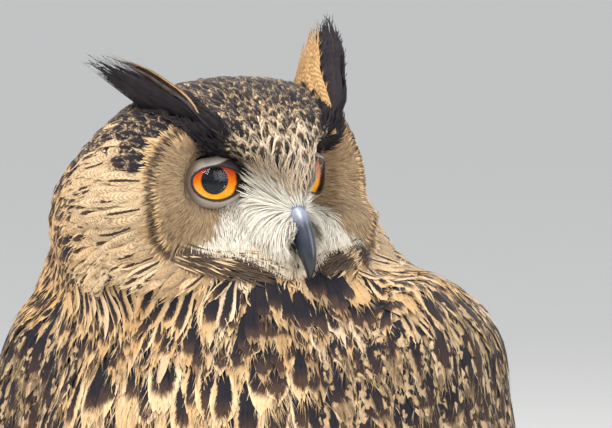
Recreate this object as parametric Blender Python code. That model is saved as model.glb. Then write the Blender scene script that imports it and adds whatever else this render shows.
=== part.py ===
"""Life-size eagle-owl that stands on the floor with its head turned over its left shoulder.

Metres, +Z up. The body faces -Y, so the bird's left is +X. Pieces of the head are modelled in the
head's own frame, with the point between the eyes' centres at its origin and the bill towards -Y, and
hang on the empty head_frame, which turns and places them. Every solid reaches out to the tips of the
feathers. The finished bird is moved so that the middle of its box stands over the origin.
"""

import math

import bmesh
import bpy
import numpy as np
from mathutils import Matrix, Vector

# Height of the eyes, and where the head's centre is over the trunk's axis.
EYE_HEIGHT = 0.500
HEAD_AT = Vector((-0.010, -0.034, EYE_HEIGHT))
HEAD_TURN = math.radians(61)
GAP = 0.0003
# The side of a level slab that cuts, and the fewest points that make a body and not a crumb.
SLAB_WIDE = 1.2
CRUMB_POINTS = 30

# Trunk and neck as level rings: height, half width, y of the front and back lines, sideways shift.
TORSO = (
    (0.082, 0.022, 0.004, 0.078, 0.0),
    (0.095, 0.050, -0.026, 0.094, 0.0),
    (0.120, 0.078, -0.060, 0.108, 0.0),
    (0.160, 0.103, -0.092, 0.118, 0.0),
    (0.210, 0.123, -0.117, 0.124, 0.0),
    (0.260, 0.132, -0.130, 0.127, 0.0),
    (0.310, 0.134, -0.134, 0.127, 0.0),
    (0.360, 0.131, -0.129, 0.122, 0.0),
    (0.400, 0.126, -0.118, 0.112, -0.001),
    (0.430, 0.117, -0.104, 0.102, -0.006),
    (0.452, 0.104, -0.089, 0.088, -0.012),
    (0.470, 0.096, -0.080, 0.074, -0.015),
    (0.490, 0.083, -0.068, 0.060, -0.017),
    (0.506, 0.056, -0.052, 0.038, -0.016),
)
TORSO_RINGS = 19
TORSO_SIDES = 30
# Levels of the cuts that part the head from the neck and the neck from the trunk.
HEAD_CUT = EYE_HEIGHT - 0.056
NECK_CUT = EYE_HEIGHT - 0.092

# Head, front view: half width, heights above and below the middle of that outline.
HEAD_HALF_WIDE = 0.090
HEAD_MIDDLE = -0.017
HEAD_UP = 0.076
HEAD_DOWN = 0.064
HEAD_SQUARENESS = 2.5
# Side view: y of the widest section and of the nape, and how the crown rounds off above a height.
SECTION_Y = -0.014
NAPE_Y = 0.090
CROWN_FROM = -0.010
CROWN_SLOPE = 8.0
CROWN_NARROWING = 30.0
FACE_DEPTH = 0.033
# Ridge between the eyes: height, how far it stands out of the face, its half width.
KEEL = (
    (-0.076, 0.012, 0.034),
    (-0.055, 0.018, 0.030),
    (-0.035, 0.025, 0.022),
    (-0.015, 0.029, 0.014),
    (0.000, 0.027, 0.012),
    (0.015, 0.022, 0.015),
    (0.035, 0.012, 0.026),
    (0.058, 0.005, 0.036),
)
BROW = ((0.012, 0.016), (0.052, 0.040))
BROW_HIGH = 0.008
BROW_WIDE = 0.011
DISC_CENTRE = (0.036, -0.004)
DISC_HALF = (0.036, 0.038)
RIM_HIGH = 0.004
RIM_WIDE = 0.14
HEAD_SIDES = 36
# The face's rings run from FIRST_RING to LAST_RING of its width, and the nape's end at an angle.
FACE_RINGS = 15
FIRST_RING = 0.02
LAST_RING = 0.97
NAPE_RINGS = 7
NAPE_END = 0.03

# Eyes: globe radius, place of the cornea's top in the head frame, how far each looks outwards.
EYE_RADIUS = 0.0165
EYE_TOP = Vector((0.035, -0.050, 0.005))
EYE_OUTWARDS = math.radians(22)

# Ear tufts: root and tip in the head frame, for a tuft on the bird's left.
TUFT_ROOT = Vector((0.045, -0.044, 0.036))
TUFT_TIPS = {"left": Vector((0.080, -0.004, 0.090)), "right": Vector((0.081, 0.002, 0.071))}
TUFT_HALF_WIDE = 0.0150
TUFT_FLATNESS = 0.38
TUFT_STEPS = 10
# The backward bow, as a share of the length, and the stretch of half a wave that is the outline.
TUFT_BOW = 0.10
TUFT_START = 0.18
TUFT_END = 0.98
TUFT_FULLNESS = 0.9
TUFT_POINT = 0.0008

# Bill, side view in the head frame: y and z of the middle line, and its radius there.
UPPER_BILL = (
    (-0.050, -0.019, 0.0095),
    (-0.061, -0.019, 0.0100),
    (-0.0705, -0.023, 0.0092),
    (-0.077, -0.030, 0.0072),
    (-0.080, -0.0365, 0.0044),
    (-0.0802, -0.042, 0.0023),
    (-0.0793, -0.0462, 0.0005),
)
LOWER_BILL = (
    (-0.046, -0.034, 0.0060),
    (-0.057, -0.037, 0.0058),
    (-0.066, -0.041, 0.0044),
    (-0.072, -0.045, 0.0022),
    (-0.0735, -0.0465, 0.0008),
)
BILL_NARROWNESS = 0.74

# Folded wing: height, angles of its front and back edges from the breast line, the half width and
# the back line of the surface it lies on, and its depth.
WING = (
    (0.450, 80, 104, 0.099, 0.082, 0.004),
    (0.436, 63, 122, 0.108, 0.094, 0.011),
    (0.408, 51, 138, 0.119, 0.108, 0.015),
    (0.370, 45, 147, 0.127, 0.119, 0.017),
    (0.320, 46, 154, 0.133, 0.127, 0.017),
    (0.270, 51, 159, 0.133, 0.129, 0.015),
    (0.220, 60, 163, 0.127, 0.130, 0.013),
    (0.170, 77, 166, 0.114, 0.134, 0.011),
    (0.130, 98, 168, 0.102, 0.139, 0.009),
    (0.095, 122, 169.5, 0.092, 0.145, 0.007),
    (0.068, 145, 170, 0.084, 0.150, 0.005),
    (0.056, 158, 167, 0.080, 0.152, 0.003),
)
WING_ROWS = 16
WING_COLUMNS = 8
WING_EDGE = 0.0015
WING_SUNK = 0.006
WING_FRONT_LINE = -0.128

# Tail: from its root under the back to its tip just off the floor.
TAIL_ROOT = Vector((0.0, 0.092, 0.190))
TAIL_TIP = Vector((0.0, 0.150, 0.012))
TAIL_HALF_WIDTHS = (0.034, 0.040, 0.044, 0.047, 0.049, 0.050, 0.050, 0.048, 0.043, 0.030)
TAIL_FLATNESS = 0.17

# Legs: the foot's middle, then path and radius of the feathered leg.
FOOT_AT = Vector((0.050, -0.012, 0.0))
LEG = (
    (-0.006, 0.014, 0.150, 0.046),
    (-0.004, 0.008, 0.118, 0.042),
    (-0.002, 0.004, 0.088, 0.034),
    (0.000, 0.002, 0.064, 0.026),
    (0.000, 0.001, 0.040, 0.0215),
    (0.000, 0.000, 0.012, 0.0190),
)
ANKLE_CUT = 0.066
FOOT_CUT = 0.026
# Toes: name, direction from straight ahead towards the outer side in degrees, length.
TOES = (("inner", -27, 0.048), ("middle", 8, 0.056), ("outer", 52, 0.046), ("hind", 197, 0.034))
# Along a toe: share of its length, height of its middle line, radius there.
TOE_SHAPE = ((0.0, 0.0125, 0.0135), (0.35, 0.0112, 0.0122), (0.7, 0.0096, 0.0108), (1.0, 0.0082, 0.0092))
CLAW_REACH = 0.028
CLAW_DROP = 0.0075
CLAW_RADIUS = 0.0048
CLAW_STEPS = 5

SIDES = {"left": 1, "right": -1}
FINISHES = {
    "plumage": ((0.62, 0.44, 0.24), 0.8),
    "dark_plumage": ((0.10, 0.075, 0.055), 0.8),
    "horn": ((0.035, 0.038, 0.045), 0.25),
    "iris": ((0.90, 0.27, 0.02), 0.08),
}


def clear_scene():
    for thing in list(bpy.data.objects):
        bpy.data.objects.remove(thing)
    for name in ("owl", "cutters"):
        group = bpy.data.collections.new(name)
        bpy.context.scene.collection.children.link(group)


def finish(name):
    """The Principled material called name, made once."""
    made = bpy.data.materials.get(name)
    if made is None:
        colour, roughness = FINISHES[name]
        made = bpy.data.materials.new(name)
        made.use_nodes = True
        shader = made.node_tree.nodes["Principled BSDF"]
        shader.inputs["Base Color"].default_value = (*colour, 1.0)
        shader.inputs["Roughness"].default_value = roughness
        shader.inputs["Metallic"].default_value = 0.0
    return made


def add_object(name, mesh, group="owl"):
    thing = bpy.data.objects.new(name, mesh)
    bpy.data.collections[group].objects.link(thing)
    if group == "cutters":
        thing.hide_render = True
        thing.display_type = "WIRE"
    return thing


def smooth(table, at):
    """The columns of a table at a value of its first column, on a curve through its rows."""
    rows = np.array(table, float)
    key, columns = rows[:, 0], rows[:, 1:]
    if key[0] > key[-1]:
        key, columns = key[::-1], columns[::-1]
    slopes = np.gradient(columns, key, axis=0)
    at = min(max(at, key[0]), key[-1])
    i = min(int(np.searchsorted(key, at, side="right")) - 1, len(key) - 2)
    step = key[i + 1] - key[i]
    t = (at - key[i]) / step
    return (
        columns[i] * (1 + 2 * t) * (1 - t) ** 2
        + columns[i + 1] * t * t * (3 - 2 * t)
        + slopes[i] * step * t * (1 - t) ** 2
        - slopes[i + 1] * step * t * t * (1 - t)
    )


def triangles(shape, name):
    """shape as a mesh of triangles that face outwards; shape is freed."""
    bmesh.ops.recalc_face_normals(shape, faces=shape.faces)
    bmesh.ops.triangulate(shape, faces=shape.faces)
    mesh = bpy.data.meshes.new(name)
    shape.to_mesh(mesh)
    shape.free()
    return mesh


def loft(name, rings, group="owl"):
    """A closed mesh through rings of equally many points, with a flat cap on each end."""
    shape = bmesh.new()
    loops = [[shape.verts.new(p) for p in ring] for ring in rings]
    count = len(loops[0])
    for low, high in zip(loops, loops[1:]):
        for i in range(count):
            j = (i + 1) % count
            shape.faces.new((low[i], low[j], high[j], high[i]))
    shape.faces.new(loops[0][::-1])
    shape.faces.new(loops[-1])
    return add_object(name, triangles(shape, name), group)


def tube(name, path, radii, group="owl", fineness=2):
    """A round tapering rod along a path, from a bevelled curve made a mesh with welded caps."""
    curve = bpy.data.curves.new(name, "CURVE")
    curve.dimensions = "3D"
    curve.bevel_depth = 1.0
    curve.bevel_resolution = fineness
    curve.use_fill_caps = True
    curve.twist_mode = "MINIMUM"
    spline = curve.splines.new("POLY")
    spline.points.add(len(path) - 1)
    for point, place, radius in zip(spline.points, path, radii):
        point.co = (*place, 1.0)
        point.radius = radius
    guide = bpy.data.objects.new(name + "_curve", curve)
    bpy.data.collections["cutters"].objects.link(guide)
    graph = bpy.context.evaluated_depsgraph_get()
    mesh = bpy.data.meshes.new_from_object(guide.evaluated_get(graph))
    bpy.data.objects.remove(guide)
    shape = bmesh.new()
    shape.from_mesh(mesh)
    bmesh.ops.remove_doubles(shape, verts=shape.verts, dist=1e-6)
    return add_object(name, triangles(shape, name), group)


def combine(thing, other, operation, solver="EXACT"):
    """Applies a Boolean of thing with other, and removes other."""
    step = thing.modifiers.new("step", "BOOLEAN")
    step.operation = operation
    step.solver = solver
    step.object = other
    bpy.context.view_layer.update()
    graph = bpy.context.evaluated_depsgraph_get()
    mesh = bpy.data.meshes.new_from_object(thing.evaluated_get(graph))
    thing.modifiers.clear()
    thing.data = mesh
    bpy.data.objects.remove(other)


def grown(thing, by=GAP):
    """A copy of thing as a cutter, its surface moved out by a running gap."""
    mesh = thing.data.copy()
    mesh.update()
    normals = [vertex.normal.copy() for vertex in mesh.vertices]
    for vertex, normal in zip(mesh.vertices, normals):
        vertex.co += normal * by
    cutter = add_object(thing.name + "_cutter", mesh, "cutters")
    cutter.parent = thing.parent
    cutter.matrix_basis = thing.matrix_basis.copy()
    return cutter


def box_between(low, high):
    """A cutter that fills a level slab, far wider than the bird, between two heights."""
    shape = bmesh.new()
    bmesh.ops.create_cube(shape, size=1.0, matrix=Matrix.Diagonal((SLAB_WIDE, SLAB_WIDE, high - low, 1.0)))
    slab = add_object("slab", triangles(shape, "slab"), "cutters")
    slab.location.z = (low + high) / 2
    return slab


def loose_bodies(thing):
    """thing's separate bodies, lowest first, as meshes of their own; crumbs are left out."""
    whole = bmesh.new()
    whole.from_mesh(thing.data)
    bmesh.ops.triangulate(whole, faces=whole.faces)
    left = set(whole.verts)
    bodies = []
    while left:
        front = [left.pop()]
        body = set(front)
        while front:
            for edge in front.pop().link_edges:
                for vertex in edge.verts:
                    if vertex in left:
                        left.discard(vertex)
                        body.add(vertex)
                        front.append(vertex)
        bodies.append(body)
    bodies = [body for body in bodies if len(body) > CRUMB_POINTS]
    bodies.sort(key=lambda body: sum(v.co.z for v in body) / len(body))
    meshes = []
    for body in bodies:
        index = {vertex: i for i, vertex in enumerate(body)}
        corners = [[index[v] for v in face.verts] for face in whole.faces if face.verts[0] in body]
        mesh = bpy.data.meshes.new(thing.name)
        mesh.from_pydata([v.co.copy() for v in body], [], corners)
        mesh.update()
        meshes.append(mesh)
    whole.free()
    return meshes


def part_at(thing, heights, names):
    """Parts thing with thin level cuts, and names the bodies from the lowest up."""
    for height in heights:
        combine(thing, box_between(height - GAP / 2, height + GAP / 2), "DIFFERENCE")
    meshes = loose_bodies(thing)
    assert len(meshes) == len(names), f"{thing.name} parted into {len(meshes)} bodies"
    parent, place = thing.parent, thing.matrix_basis.copy()
    bpy.data.objects.remove(thing)
    made = []
    for name, mesh in zip(names, meshes):
        body = add_object(name, mesh)
        body.parent, body.matrix_basis = parent, place
        made.append(body)
    return made


def torso_ring(height, out=0.0, sides=TORSO_SIDES):
    half_wide, front, back, sideways = smooth(TORSO, height)
    middle = (front + back) / 2
    half_deep = (back - front) / 2
    ring = []
    for i in range(sides):
        angle = math.tau * i / sides
        ring.append(
            Vector(
                (
                    sideways + (half_wide + out) * math.sin(angle),
                    middle - (half_deep + out) * math.cos(angle),
                    height,
                )
            )
        )
    return ring


def make_torso(name, group="owl", out=0.0):
    low, high = TORSO[0][0], TORSO[-1][0]
    heights = [low + (high - low) * i / (TORSO_RINGS - 1) for i in range(TORSO_RINGS)]
    return loft(name, [torso_ring(height, out) for height in heights], group)


def rounded(value, power):
    return math.copysign(abs(value) ** power, value)


def outline_share(x, z):
    """0 at the middle of the head's front view, 1 on its outline."""
    up = HEAD_UP if z > HEAD_MIDDLE else HEAD_DOWN
    across = abs(x / HEAD_HALF_WIDE) ** HEAD_SQUARENESS
    return (across + abs((z - HEAD_MIDDLE) / up) ** HEAD_SQUARENESS) ** (1 / HEAD_SQUARENESS)


def to_segment(point, start, end):
    point, start, end = Vector(point), Vector(start), Vector(end)
    along = end - start
    share = (point - start).dot(along) / along.length_squared
    return (point - start - along * min(max(share, 0.0), 1.0)).length


def face_depth(x, z):
    """How far the face stands in front of the head's widest section, with its ridges."""
    share = outline_share(x, z)
    dome = FACE_DEPTH * max(0.0, 1 - share**5) ** 0.6
    keel_high, keel_wide = smooth(KEEL, z)
    keel = keel_high * math.exp(-((x / keel_wide) ** 2))
    brow = BROW_HIGH * math.exp(-((to_segment((abs(x), z), *BROW) / BROW_WIDE) ** 2))
    ring = math.hypot((abs(x) - DISC_CENTRE[0]) / DISC_HALF[0], (z - DISC_CENTRE[1]) / DISC_HALF[1])
    rim = RIM_HIGH * math.exp(-(((ring - 1) / RIM_WIDE) ** 2))
    return dome + (keel + brow + rim) * (1 - share**8)


def make_head(name, head_frame, group="owl", out=0.0):
    """Rings from the middle of the face out to the widest section, then back round the nape."""
    rings = []
    step = (LAST_RING - FIRST_RING) / (FACE_RINGS - 1)
    shares = [FIRST_RING + step * i for i in range(FACE_RINGS)] + [1.0]
    back_angles = [math.pi / 2 * (1 - (i + 1) / NAPE_RINGS) for i in range(NAPE_RINGS)]
    steps = [(share, None) for share in shares]
    steps += [(math.sin(max(a, NAPE_END)), a) for a in back_angles]
    power = 2 / HEAD_SQUARENESS
    for share, back_angle in steps:
        ring = []
        for i in range(HEAD_SIDES):
            angle = math.tau * i / HEAD_SIDES
            wide = share * rounded(math.cos(angle), power)
            high = share * rounded(math.sin(angle), power)
            up = HEAD_UP if high > 0 else HEAD_DOWN
            x, z = HEAD_HALF_WIDE * wide, HEAD_MIDDLE + up * high
            if back_angle is None:
                y = SECTION_Y - face_depth(x, z) - out
            else:
                above = max(0.0, z - CROWN_FROM)
                depth = (NAPE_Y - SECTION_Y) * (1 - CROWN_SLOPE * above)
                y = SECTION_Y + (depth + out) * math.cos(back_angle)
                x *= 1 - CROWN_NARROWING * above**2 * math.cos(back_angle)
            ring.append(Vector((x + out * wide, y, z + out * high)))
        rings.append(ring)
    head = loft(name, rings, group)
    head.parent = head_frame
    return head


def make_eye(side, head_frame):
    sign = SIDES[side]
    axis = Vector((sign * math.sin(EYE_OUTWARDS), -math.cos(EYE_OUTWARDS), 0.0))
    top = Vector((sign * EYE_TOP.x, EYE_TOP.y, EYE_TOP.z))
    shape = bmesh.new()
    bmesh.ops.create_uvsphere(shape, u_segments=16, v_segments=10, radius=EYE_RADIUS)
    eye = add_object("eye_" + side, triangles(shape, "eye_" + side))
    eye.parent = head_frame
    eye.location = top - axis * EYE_RADIUS
    eye.rotation_euler = axis.to_track_quat("Z", "Y").to_euler()
    return eye


def make_bill_half(name, shape, head_frame):
    path = [Vector((0.0, y, z)) for y, z, _ in shape]
    half = tube(name, path, [radius for *_, radius in shape], fineness=3)
    half.data.transform(Matrix.Diagonal((BILL_NARROWNESS, 1.0, 1.0, 1.0)))
    half.parent = head_frame
    return half


def make_tuft(side, head_frame):
    """A flattened spindle from the brow up, out and back, with a slight backward bow."""
    sign = SIDES[side]
    root = Vector((sign * TUFT_ROOT.x, TUFT_ROOT.y, TUFT_ROOT.z))
    tip = TUFT_TIPS[side].copy()
    tip.x *= sign
    length = (tip - root).length
    path, radii = [], []
    for i in range(TUFT_STEPS + 1):
        share = i / TUFT_STEPS
        bow = TUFT_BOW * length * math.sin(math.pi * share)
        path.append(Vector((0.0, bow, length * share)))
        wave = TUFT_START + (TUFT_END - TUFT_START) * share
        swell = math.sin(math.pi * wave**TUFT_FULLNESS)
        radii.append(max(TUFT_HALF_WIDE * swell, TUFT_POINT))
    tuft = tube("ear_tuft_" + side, path, radii)
    tuft.data.transform(Matrix.Diagonal((TUFT_FLATNESS, 1.0, 1.0, 1.0)))
    along = (tip - root).normalized()
    across = Vector((0.0, 1.0, 0.0)).cross(along).normalized()
    turn = Matrix((across, along.cross(across), along)).transposed().to_4x4()
    tuft.data.transform(Matrix.Translation(root) @ turn)
    tuft.parent = head_frame
    return tuft


def wing_point(side, height, share, lift):
    """A point of the wing: share goes from its front edge to its back edge."""
    front_angle, back_angle, half_wide, back, _ = smooth(WING, height)
    angle = math.radians(front_angle + (back_angle - front_angle) * share)
    middle = (WING_FRONT_LINE + back) / 2
    half_deep = (back - WING_FRONT_LINE) / 2
    return Vector(
        (
            SIDES[side] * (half_wide + lift) * math.sin(angle),
            middle - (half_deep + lift) * math.cos(angle),
            height,
        )
    )


def make_wing(side):
    """A shell over the flank: each row runs out along its outer face and back along its inner one."""
    top, bottom = WING[0][0], WING[-1][0]
    rings = []
    for row in range(WING_ROWS):
        height = top + (bottom - top) * row / (WING_ROWS - 1)
        depth = smooth(WING, height)[-1]
        shares = [i / WING_COLUMNS for i in range(WING_COLUMNS + 1)]
        crown = [math.sqrt(max(0.0, 1 - (2 * share - 1) ** 2)) for share in shares]
        sunk = WING_SUNK if height > TORSO[2][0] else 0.0
        outer = [wing_point(side, height, s, WING_EDGE + depth * c) for s, c in zip(shares, crown)]
        inner = [wing_point(side, height, s, -sunk * c) for s, c in zip(shares, crown)]
        rings.append(outer + inner[::-1])
    return loft("wing_" + side, rings)


def make_tail():
    along = TAIL_TIP - TAIL_ROOT
    count = len(TAIL_HALF_WIDTHS)
    path = [Vector((0.0, 0.0, along.length * i / (count - 1))) for i in range(count)]
    tail = tube("tail", path, TAIL_HALF_WIDTHS, fineness=3)
    tail.data.transform(Matrix.Diagonal((1.0, TAIL_FLATNESS, 1.0, 1.0)))
    direction = along.normalized()
    across = Vector((1.0, 0.0, 0.0))
    turn = Matrix((across, direction.cross(across), direction)).transposed().to_4x4()
    tail.data.transform(Matrix.Translation(TAIL_ROOT) @ turn)
    return tail


def foot_centre(side):
    return Vector((SIDES[side] * FOOT_AT.x, FOOT_AT.y, FOOT_AT.z))


def toe_direction(side, degrees):
    angle = math.radians(degrees)
    return Vector((SIDES[side] * math.sin(angle), -math.cos(angle), 0.0))


def make_leg(side):
    """Feathered leg with its toes in one piece, parted at the ankle and above the toes."""
    centre = foot_centre(side)
    path = [centre + Vector((SIDES[side] * x, y, z)) for x, y, z, _ in LEG]
    leg = tube("leg_" + side, path, [radius for *_, radius in LEG], fineness=3)
    for name, degrees, length in TOES:
        along = toe_direction(side, degrees)
        toe_path = [centre + along * length * share + Vector((0, 0, z)) for share, z, _ in TOE_SHAPE]
        toe = tube("toe_" + name, toe_path, [radius for *_, radius in TOE_SHAPE], "cutters")
        combine(leg, toe, "UNION")
    combine(leg, box_between(-SLAB_WIDE / 2, 0.0), "DIFFERENCE")
    return leg


def make_claw(side, name, degrees, length):
    """A quarter-turn hook from the toe's end down to just above the floor."""
    along = toe_direction(side, degrees)
    start_height = TOE_SHAPE[-1][1]
    start = foot_centre(side) + along * (length + GAP) + Vector((0, 0, start_height))
    path, radii = [], []
    for i in range(CLAW_STEPS + 1):
        share = i / CLAW_STEPS
        rise = 0.0022 * math.sin(math.pi * share) - CLAW_DROP * share**2
        path.append(start + along * CLAW_REACH * math.sin(share * math.pi / 2) + Vector((0, 0, rise)))
        radii.append(CLAW_RADIUS * (1 - share) ** 0.7 + 0.0003)
    return tube(f"claw_{side}_{name}", path, radii)


def stand_on_origin(things):
    """Moves the whole bird so that the middle of its box is over the origin and its soles at zero."""
    bpy.context.view_layer.update()
    corners = np.array([thing.matrix_world @ v.co for thing in things for v in thing.data.vertices])
    low, high = corners.min(axis=0), corners.max(axis=0)
    shift = Vector((-(low[0] + high[0]) / 2, -(low[1] + high[1]) / 2, -low[2]))
    for thing in bpy.data.objects:
        if thing.parent is None:
            thing.location += shift


def dress(things):
    for thing in things:
        name = thing.name
        if name.startswith(("claw", "bill")):
            slot = "horn"
        elif name.startswith("eye"):
            slot = "iris"
        elif name.startswith(("wing", "tail", "ear")):
            slot = "dark_plumage"
        else:
            slot = "plumage"
        thing.data.materials.clear()
        thing.data.materials.append(finish(slot))
        thing.data.shade_smooth()


def main():
    clear_scene()
    head_frame = bpy.data.objects.new("head_frame", None)
    bpy.data.collections["owl"].objects.link(head_frame)
    head_frame.location = HEAD_AT
    head_frame.rotation_euler = (0.0, 0.0, HEAD_TURN)
    bpy.context.view_layer.update()

    torso = make_torso("torso")
    combine(torso, make_head("head_whole", head_frame), "UNION")
    trunk, neck, head = part_at(torso, (NECK_CUT, HEAD_CUT), ("trunk", "neck", "head"))

    eyes = [make_eye(side, head_frame) for side in SIDES]
    tufts = [make_tuft(side, head_frame) for side in SIDES]
    upper = make_bill_half("bill_upper", UPPER_BILL, head_frame)
    lower = make_bill_half("bill_lower", LOWER_BILL, head_frame)
    combine(lower, grown(upper), "DIFFERENCE")
    for piece in (*eyes, *tufts, upper, lower):
        combine(head, grown(piece), "DIFFERENCE", "MANIFOLD")

    tail = make_tail()
    combine(tail, make_torso("torso_cutter", "cutters", GAP), "DIFFERENCE")
    for side in SIDES:
        wing = make_wing(side)
        combine(wing, make_torso("torso_cutter", "cutters", GAP), "DIFFERENCE")
        combine(wing, make_head("head_cutter", head_frame, "cutters", GAP), "DIFFERENCE")
        combine(wing, grown(tail), "DIFFERENCE")
        leg = make_leg(side)
        combine(leg, make_torso("torso_cutter", "cutters", GAP), "DIFFERENCE")
        names = ("foot_" + side, "shank_" + side, "thigh_" + side)
        foot, *_ = part_at(leg, (FOOT_CUT, ANKLE_CUT), names)
        for name, degrees, length in TOES:
            combine(make_claw(side, name, degrees, length), grown(foot), "DIFFERENCE", "MANIFOLD")

    things = [thing for thing in bpy.data.collections["owl"].objects if thing.type == "MESH"]
    stand_on_origin(things)
    dress(things)


main()
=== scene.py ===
"""Looks of a life-size Eurasian eagle-owl, a still museum model, laid out as an add-on.

Metres, +Z up. The body faces -Y, so the bird's left is +X. The head's own frame has the point between
the eyes at its origin, +X to the bird's left, +Y to the nape. One skin takes the place of the flesh and
lies inside it by the coat's depth. The coat is joined meshes of feathers, each a small curved grid that
starts on the skin and follows the lie of the coat, with a few loose barbs at its tip.
"""

import math
from collections import namedtuple
from contextlib import contextmanager
from types import SimpleNamespace

import bpy
import numpy as np
from bpy.props import FloatProperty, FloatVectorProperty, IntProperty, PointerProperty
from mathutils import Matrix, Vector
from mathutils.bvhtree import BVHTree


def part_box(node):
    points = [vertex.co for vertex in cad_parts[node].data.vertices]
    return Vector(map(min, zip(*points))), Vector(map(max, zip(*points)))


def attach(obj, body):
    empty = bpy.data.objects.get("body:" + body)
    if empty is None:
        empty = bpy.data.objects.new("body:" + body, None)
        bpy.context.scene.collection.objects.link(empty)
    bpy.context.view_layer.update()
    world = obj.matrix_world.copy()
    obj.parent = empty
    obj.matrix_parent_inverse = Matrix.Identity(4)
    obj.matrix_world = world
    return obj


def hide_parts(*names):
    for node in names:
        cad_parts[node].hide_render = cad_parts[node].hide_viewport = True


bl_info = {
    "name": "Eagle-owl",
    "version": (1, 0, 0),
    "blender": (4, 5, 0),
    "location": "3D View > Sidebar > Owl",
    "description": "Skin, feathers, eyes, bill, claws and studio of a standing eagle-owl",
    "category": "Object",
}

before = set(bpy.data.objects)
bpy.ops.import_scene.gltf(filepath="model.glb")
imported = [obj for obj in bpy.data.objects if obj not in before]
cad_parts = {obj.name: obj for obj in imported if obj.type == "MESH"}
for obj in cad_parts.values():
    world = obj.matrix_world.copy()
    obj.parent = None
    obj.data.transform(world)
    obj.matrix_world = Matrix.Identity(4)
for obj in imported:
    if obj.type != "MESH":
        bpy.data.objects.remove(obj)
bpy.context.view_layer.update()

BODY = "root"
SIDES = {"left": 1, "right": -1}
MM = 0.001


def middle_of(node):
    low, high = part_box(node)
    return (low + high) / 2


def linear(red, green, blue):
    """A display colour of 0 to 255 as linear light."""
    parts = [value / 255 for value in (red, green, blue)]
    return tuple(p / 12.92 if p <= 0.04045 else ((p + 0.055) / 1.055) ** 2.4 for p in parts)


# The head's frame, from where the eyes are: their centres lie behind and above its origin.
EYE_CENTRES = {side: middle_of("eye_" + side) for side in SIDES}
EYE_RADIUS = (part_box("eye_left")[1].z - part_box("eye_left")[0].z) / 2
EYE_OUTWARDS = math.radians(22)
EYE_BEHIND = 34.7 * MM
EYE_ABOVE = 5.0 * MM
HEAD_ACROSS = (EYE_CENTRES["left"] - EYE_CENTRES["right"]).normalized()
HEAD_BACK = Vector((0, 0, 1)).cross(HEAD_ACROSS)
HEAD_AXES = np.array([HEAD_ACROSS, HEAD_BACK, (0, 0, 1)])
HEAD_ORIGIN = np.array(
    (EYE_CENTRES["left"] + EYE_CENTRES["right"]) / 2 + HEAD_BACK * EYE_BEHIND - Vector((0, 0, EYE_ABOVE))
)
EYE_APART = (EYE_CENTRES["left"] - EYE_CENTRES["right"]).length / 2

# The face in the head's frame: the disc, the outlines of the white bristles as heights or half widths along
# the other axis, the dark brow, and the points that feathers lie away from. The tables are in mm.
DISC_CENTRE = (36 * MM, -2 * MM)
DISC_HALF = (36 * MM, 38 * MM)
WHITE_TOP = ((0, 6, 12, 18, 22, 30, 60), (-1, 4, 8.5, 13, 16, 12, 12))
WHITE_LOW = ((0, 6, 12, 22, 36, 45, 60), (-43, -42, -38, -32, -30, -28, -28))
WHITE_SIDE = ((-50, -26, -23, -14.5, -10, -2, 7, 14), (48, 46, 38, 31, 26, 18.5, 23.5, 32))
BROW_LINE = ((45, 36), (37, 28), (30.5, 20.5), (25, 14), (20, 7.5), (16, 0), (16, -3.5))
BROW_HALF = (9.5, 6.6, 4.8, 4.0, 3.3, 3.3, 2.8)
BROW_EDGE = tuple(zip(*BROW_LINE[-2::-1]))
CERE_HEIGHT = -13 * MM
BROW_SOURCE = np.array([0, -62 * MM, -20 * MM])
RUFF_SOURCE = np.array([0, -50 * MM, -34 * MM])
EYE_CLEAR = (12.4 * MM, 18.2 * MM, 9.8 * MM)
EYE_HOLLOW = 22 * MM

FLESH = ["head", "neck", "trunk", "tail"]
FLESH += [part + "_" + side for part in ("thigh", "shank", "foot", "wing") for side in SIDES]
LEG_NODES = [part + "_" + side for part in ("thigh", "shank") for side in SIDES]
FOOT_NODES = ["foot_left", "foot_right"]
WING_NODES = ["wing_left", "wing_right"]
FEET = {side: middle_of("foot_" + side) for side in SIDES}
NECK_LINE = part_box("neck")[0].z
HEAD_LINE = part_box("head")[0].z


# ---------------------------------------------------------------- settings


def shade(name, note, *parts):
    """A colour to choose, given as a display colour of 0 to 255."""
    return FloatVectorProperty(name=name, description=note, default=linear(*parts), subtype="COLOR")


def measure(name, note, metres):
    return FloatProperty(name=name, description=note, default=metres, unit="LENGTH")


def strength(name, note, amount):
    return FloatProperty(name=name, description=note, default=amount, min=0.0)


class OwlCoat(bpy.types.PropertyGroup):
    """Sizes and colours of the skin and the feathers."""

    voxel: measure("Skin grain", "Cell size of the joined skin", 3 * MM)
    depth: measure("Coat depth", "How far the skin lies inside the outline", 5.5 * MM)
    seed: IntProperty(name="Seed", description="Start of every random draw", default=11, min=0)
    buff: shade("Buff", "Ground of breast feathers", 203, 168, 122)
    gold: shade("Gold", "Ground beside the head", 194, 152, 100)
    cream: shade("Cream", "Pale spots and down", 220, 198, 164)
    white: shade("White", "Bristles by the bill", 222, 216, 202)
    disc: shade("Disc", "Face round the eyes", 168, 137, 100)
    black: shade("Black", "Centre streaks", 26, 24, 30)
    brown: shade("Brown", "Bars and the ends of streaks", 84, 60, 44)
    tawny: shade("Tawny", "Ground of flight feathers", 176, 138, 96)


class OwlEyes(bpy.types.PropertyGroup):
    """Sizes and colours of the eyes and their lids."""

    pupil: measure("Pupil", "Radius of the pupil", 7.15 * MM)
    iris: measure("Iris", "Radius of the iris", 12.3 * MM)
    cornea: measure("Cornea", "Height of its bulge", 1.0 * MM)
    # The upper iris colour is painted shade: the orange iris turns red where the upper lid shades it.
    red: shade("Upper iris", "Iris at its top", 226, 56, 2)
    amber: shade("Lower iris", "Iris at its foot", 255, 176, 4)
    lid: shade("Lid", "Bare pale band of the lids", 172, 163, 150)
    rim: shade("Lid rim", "Dark edge of the lids", 44, 33, 36)


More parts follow.
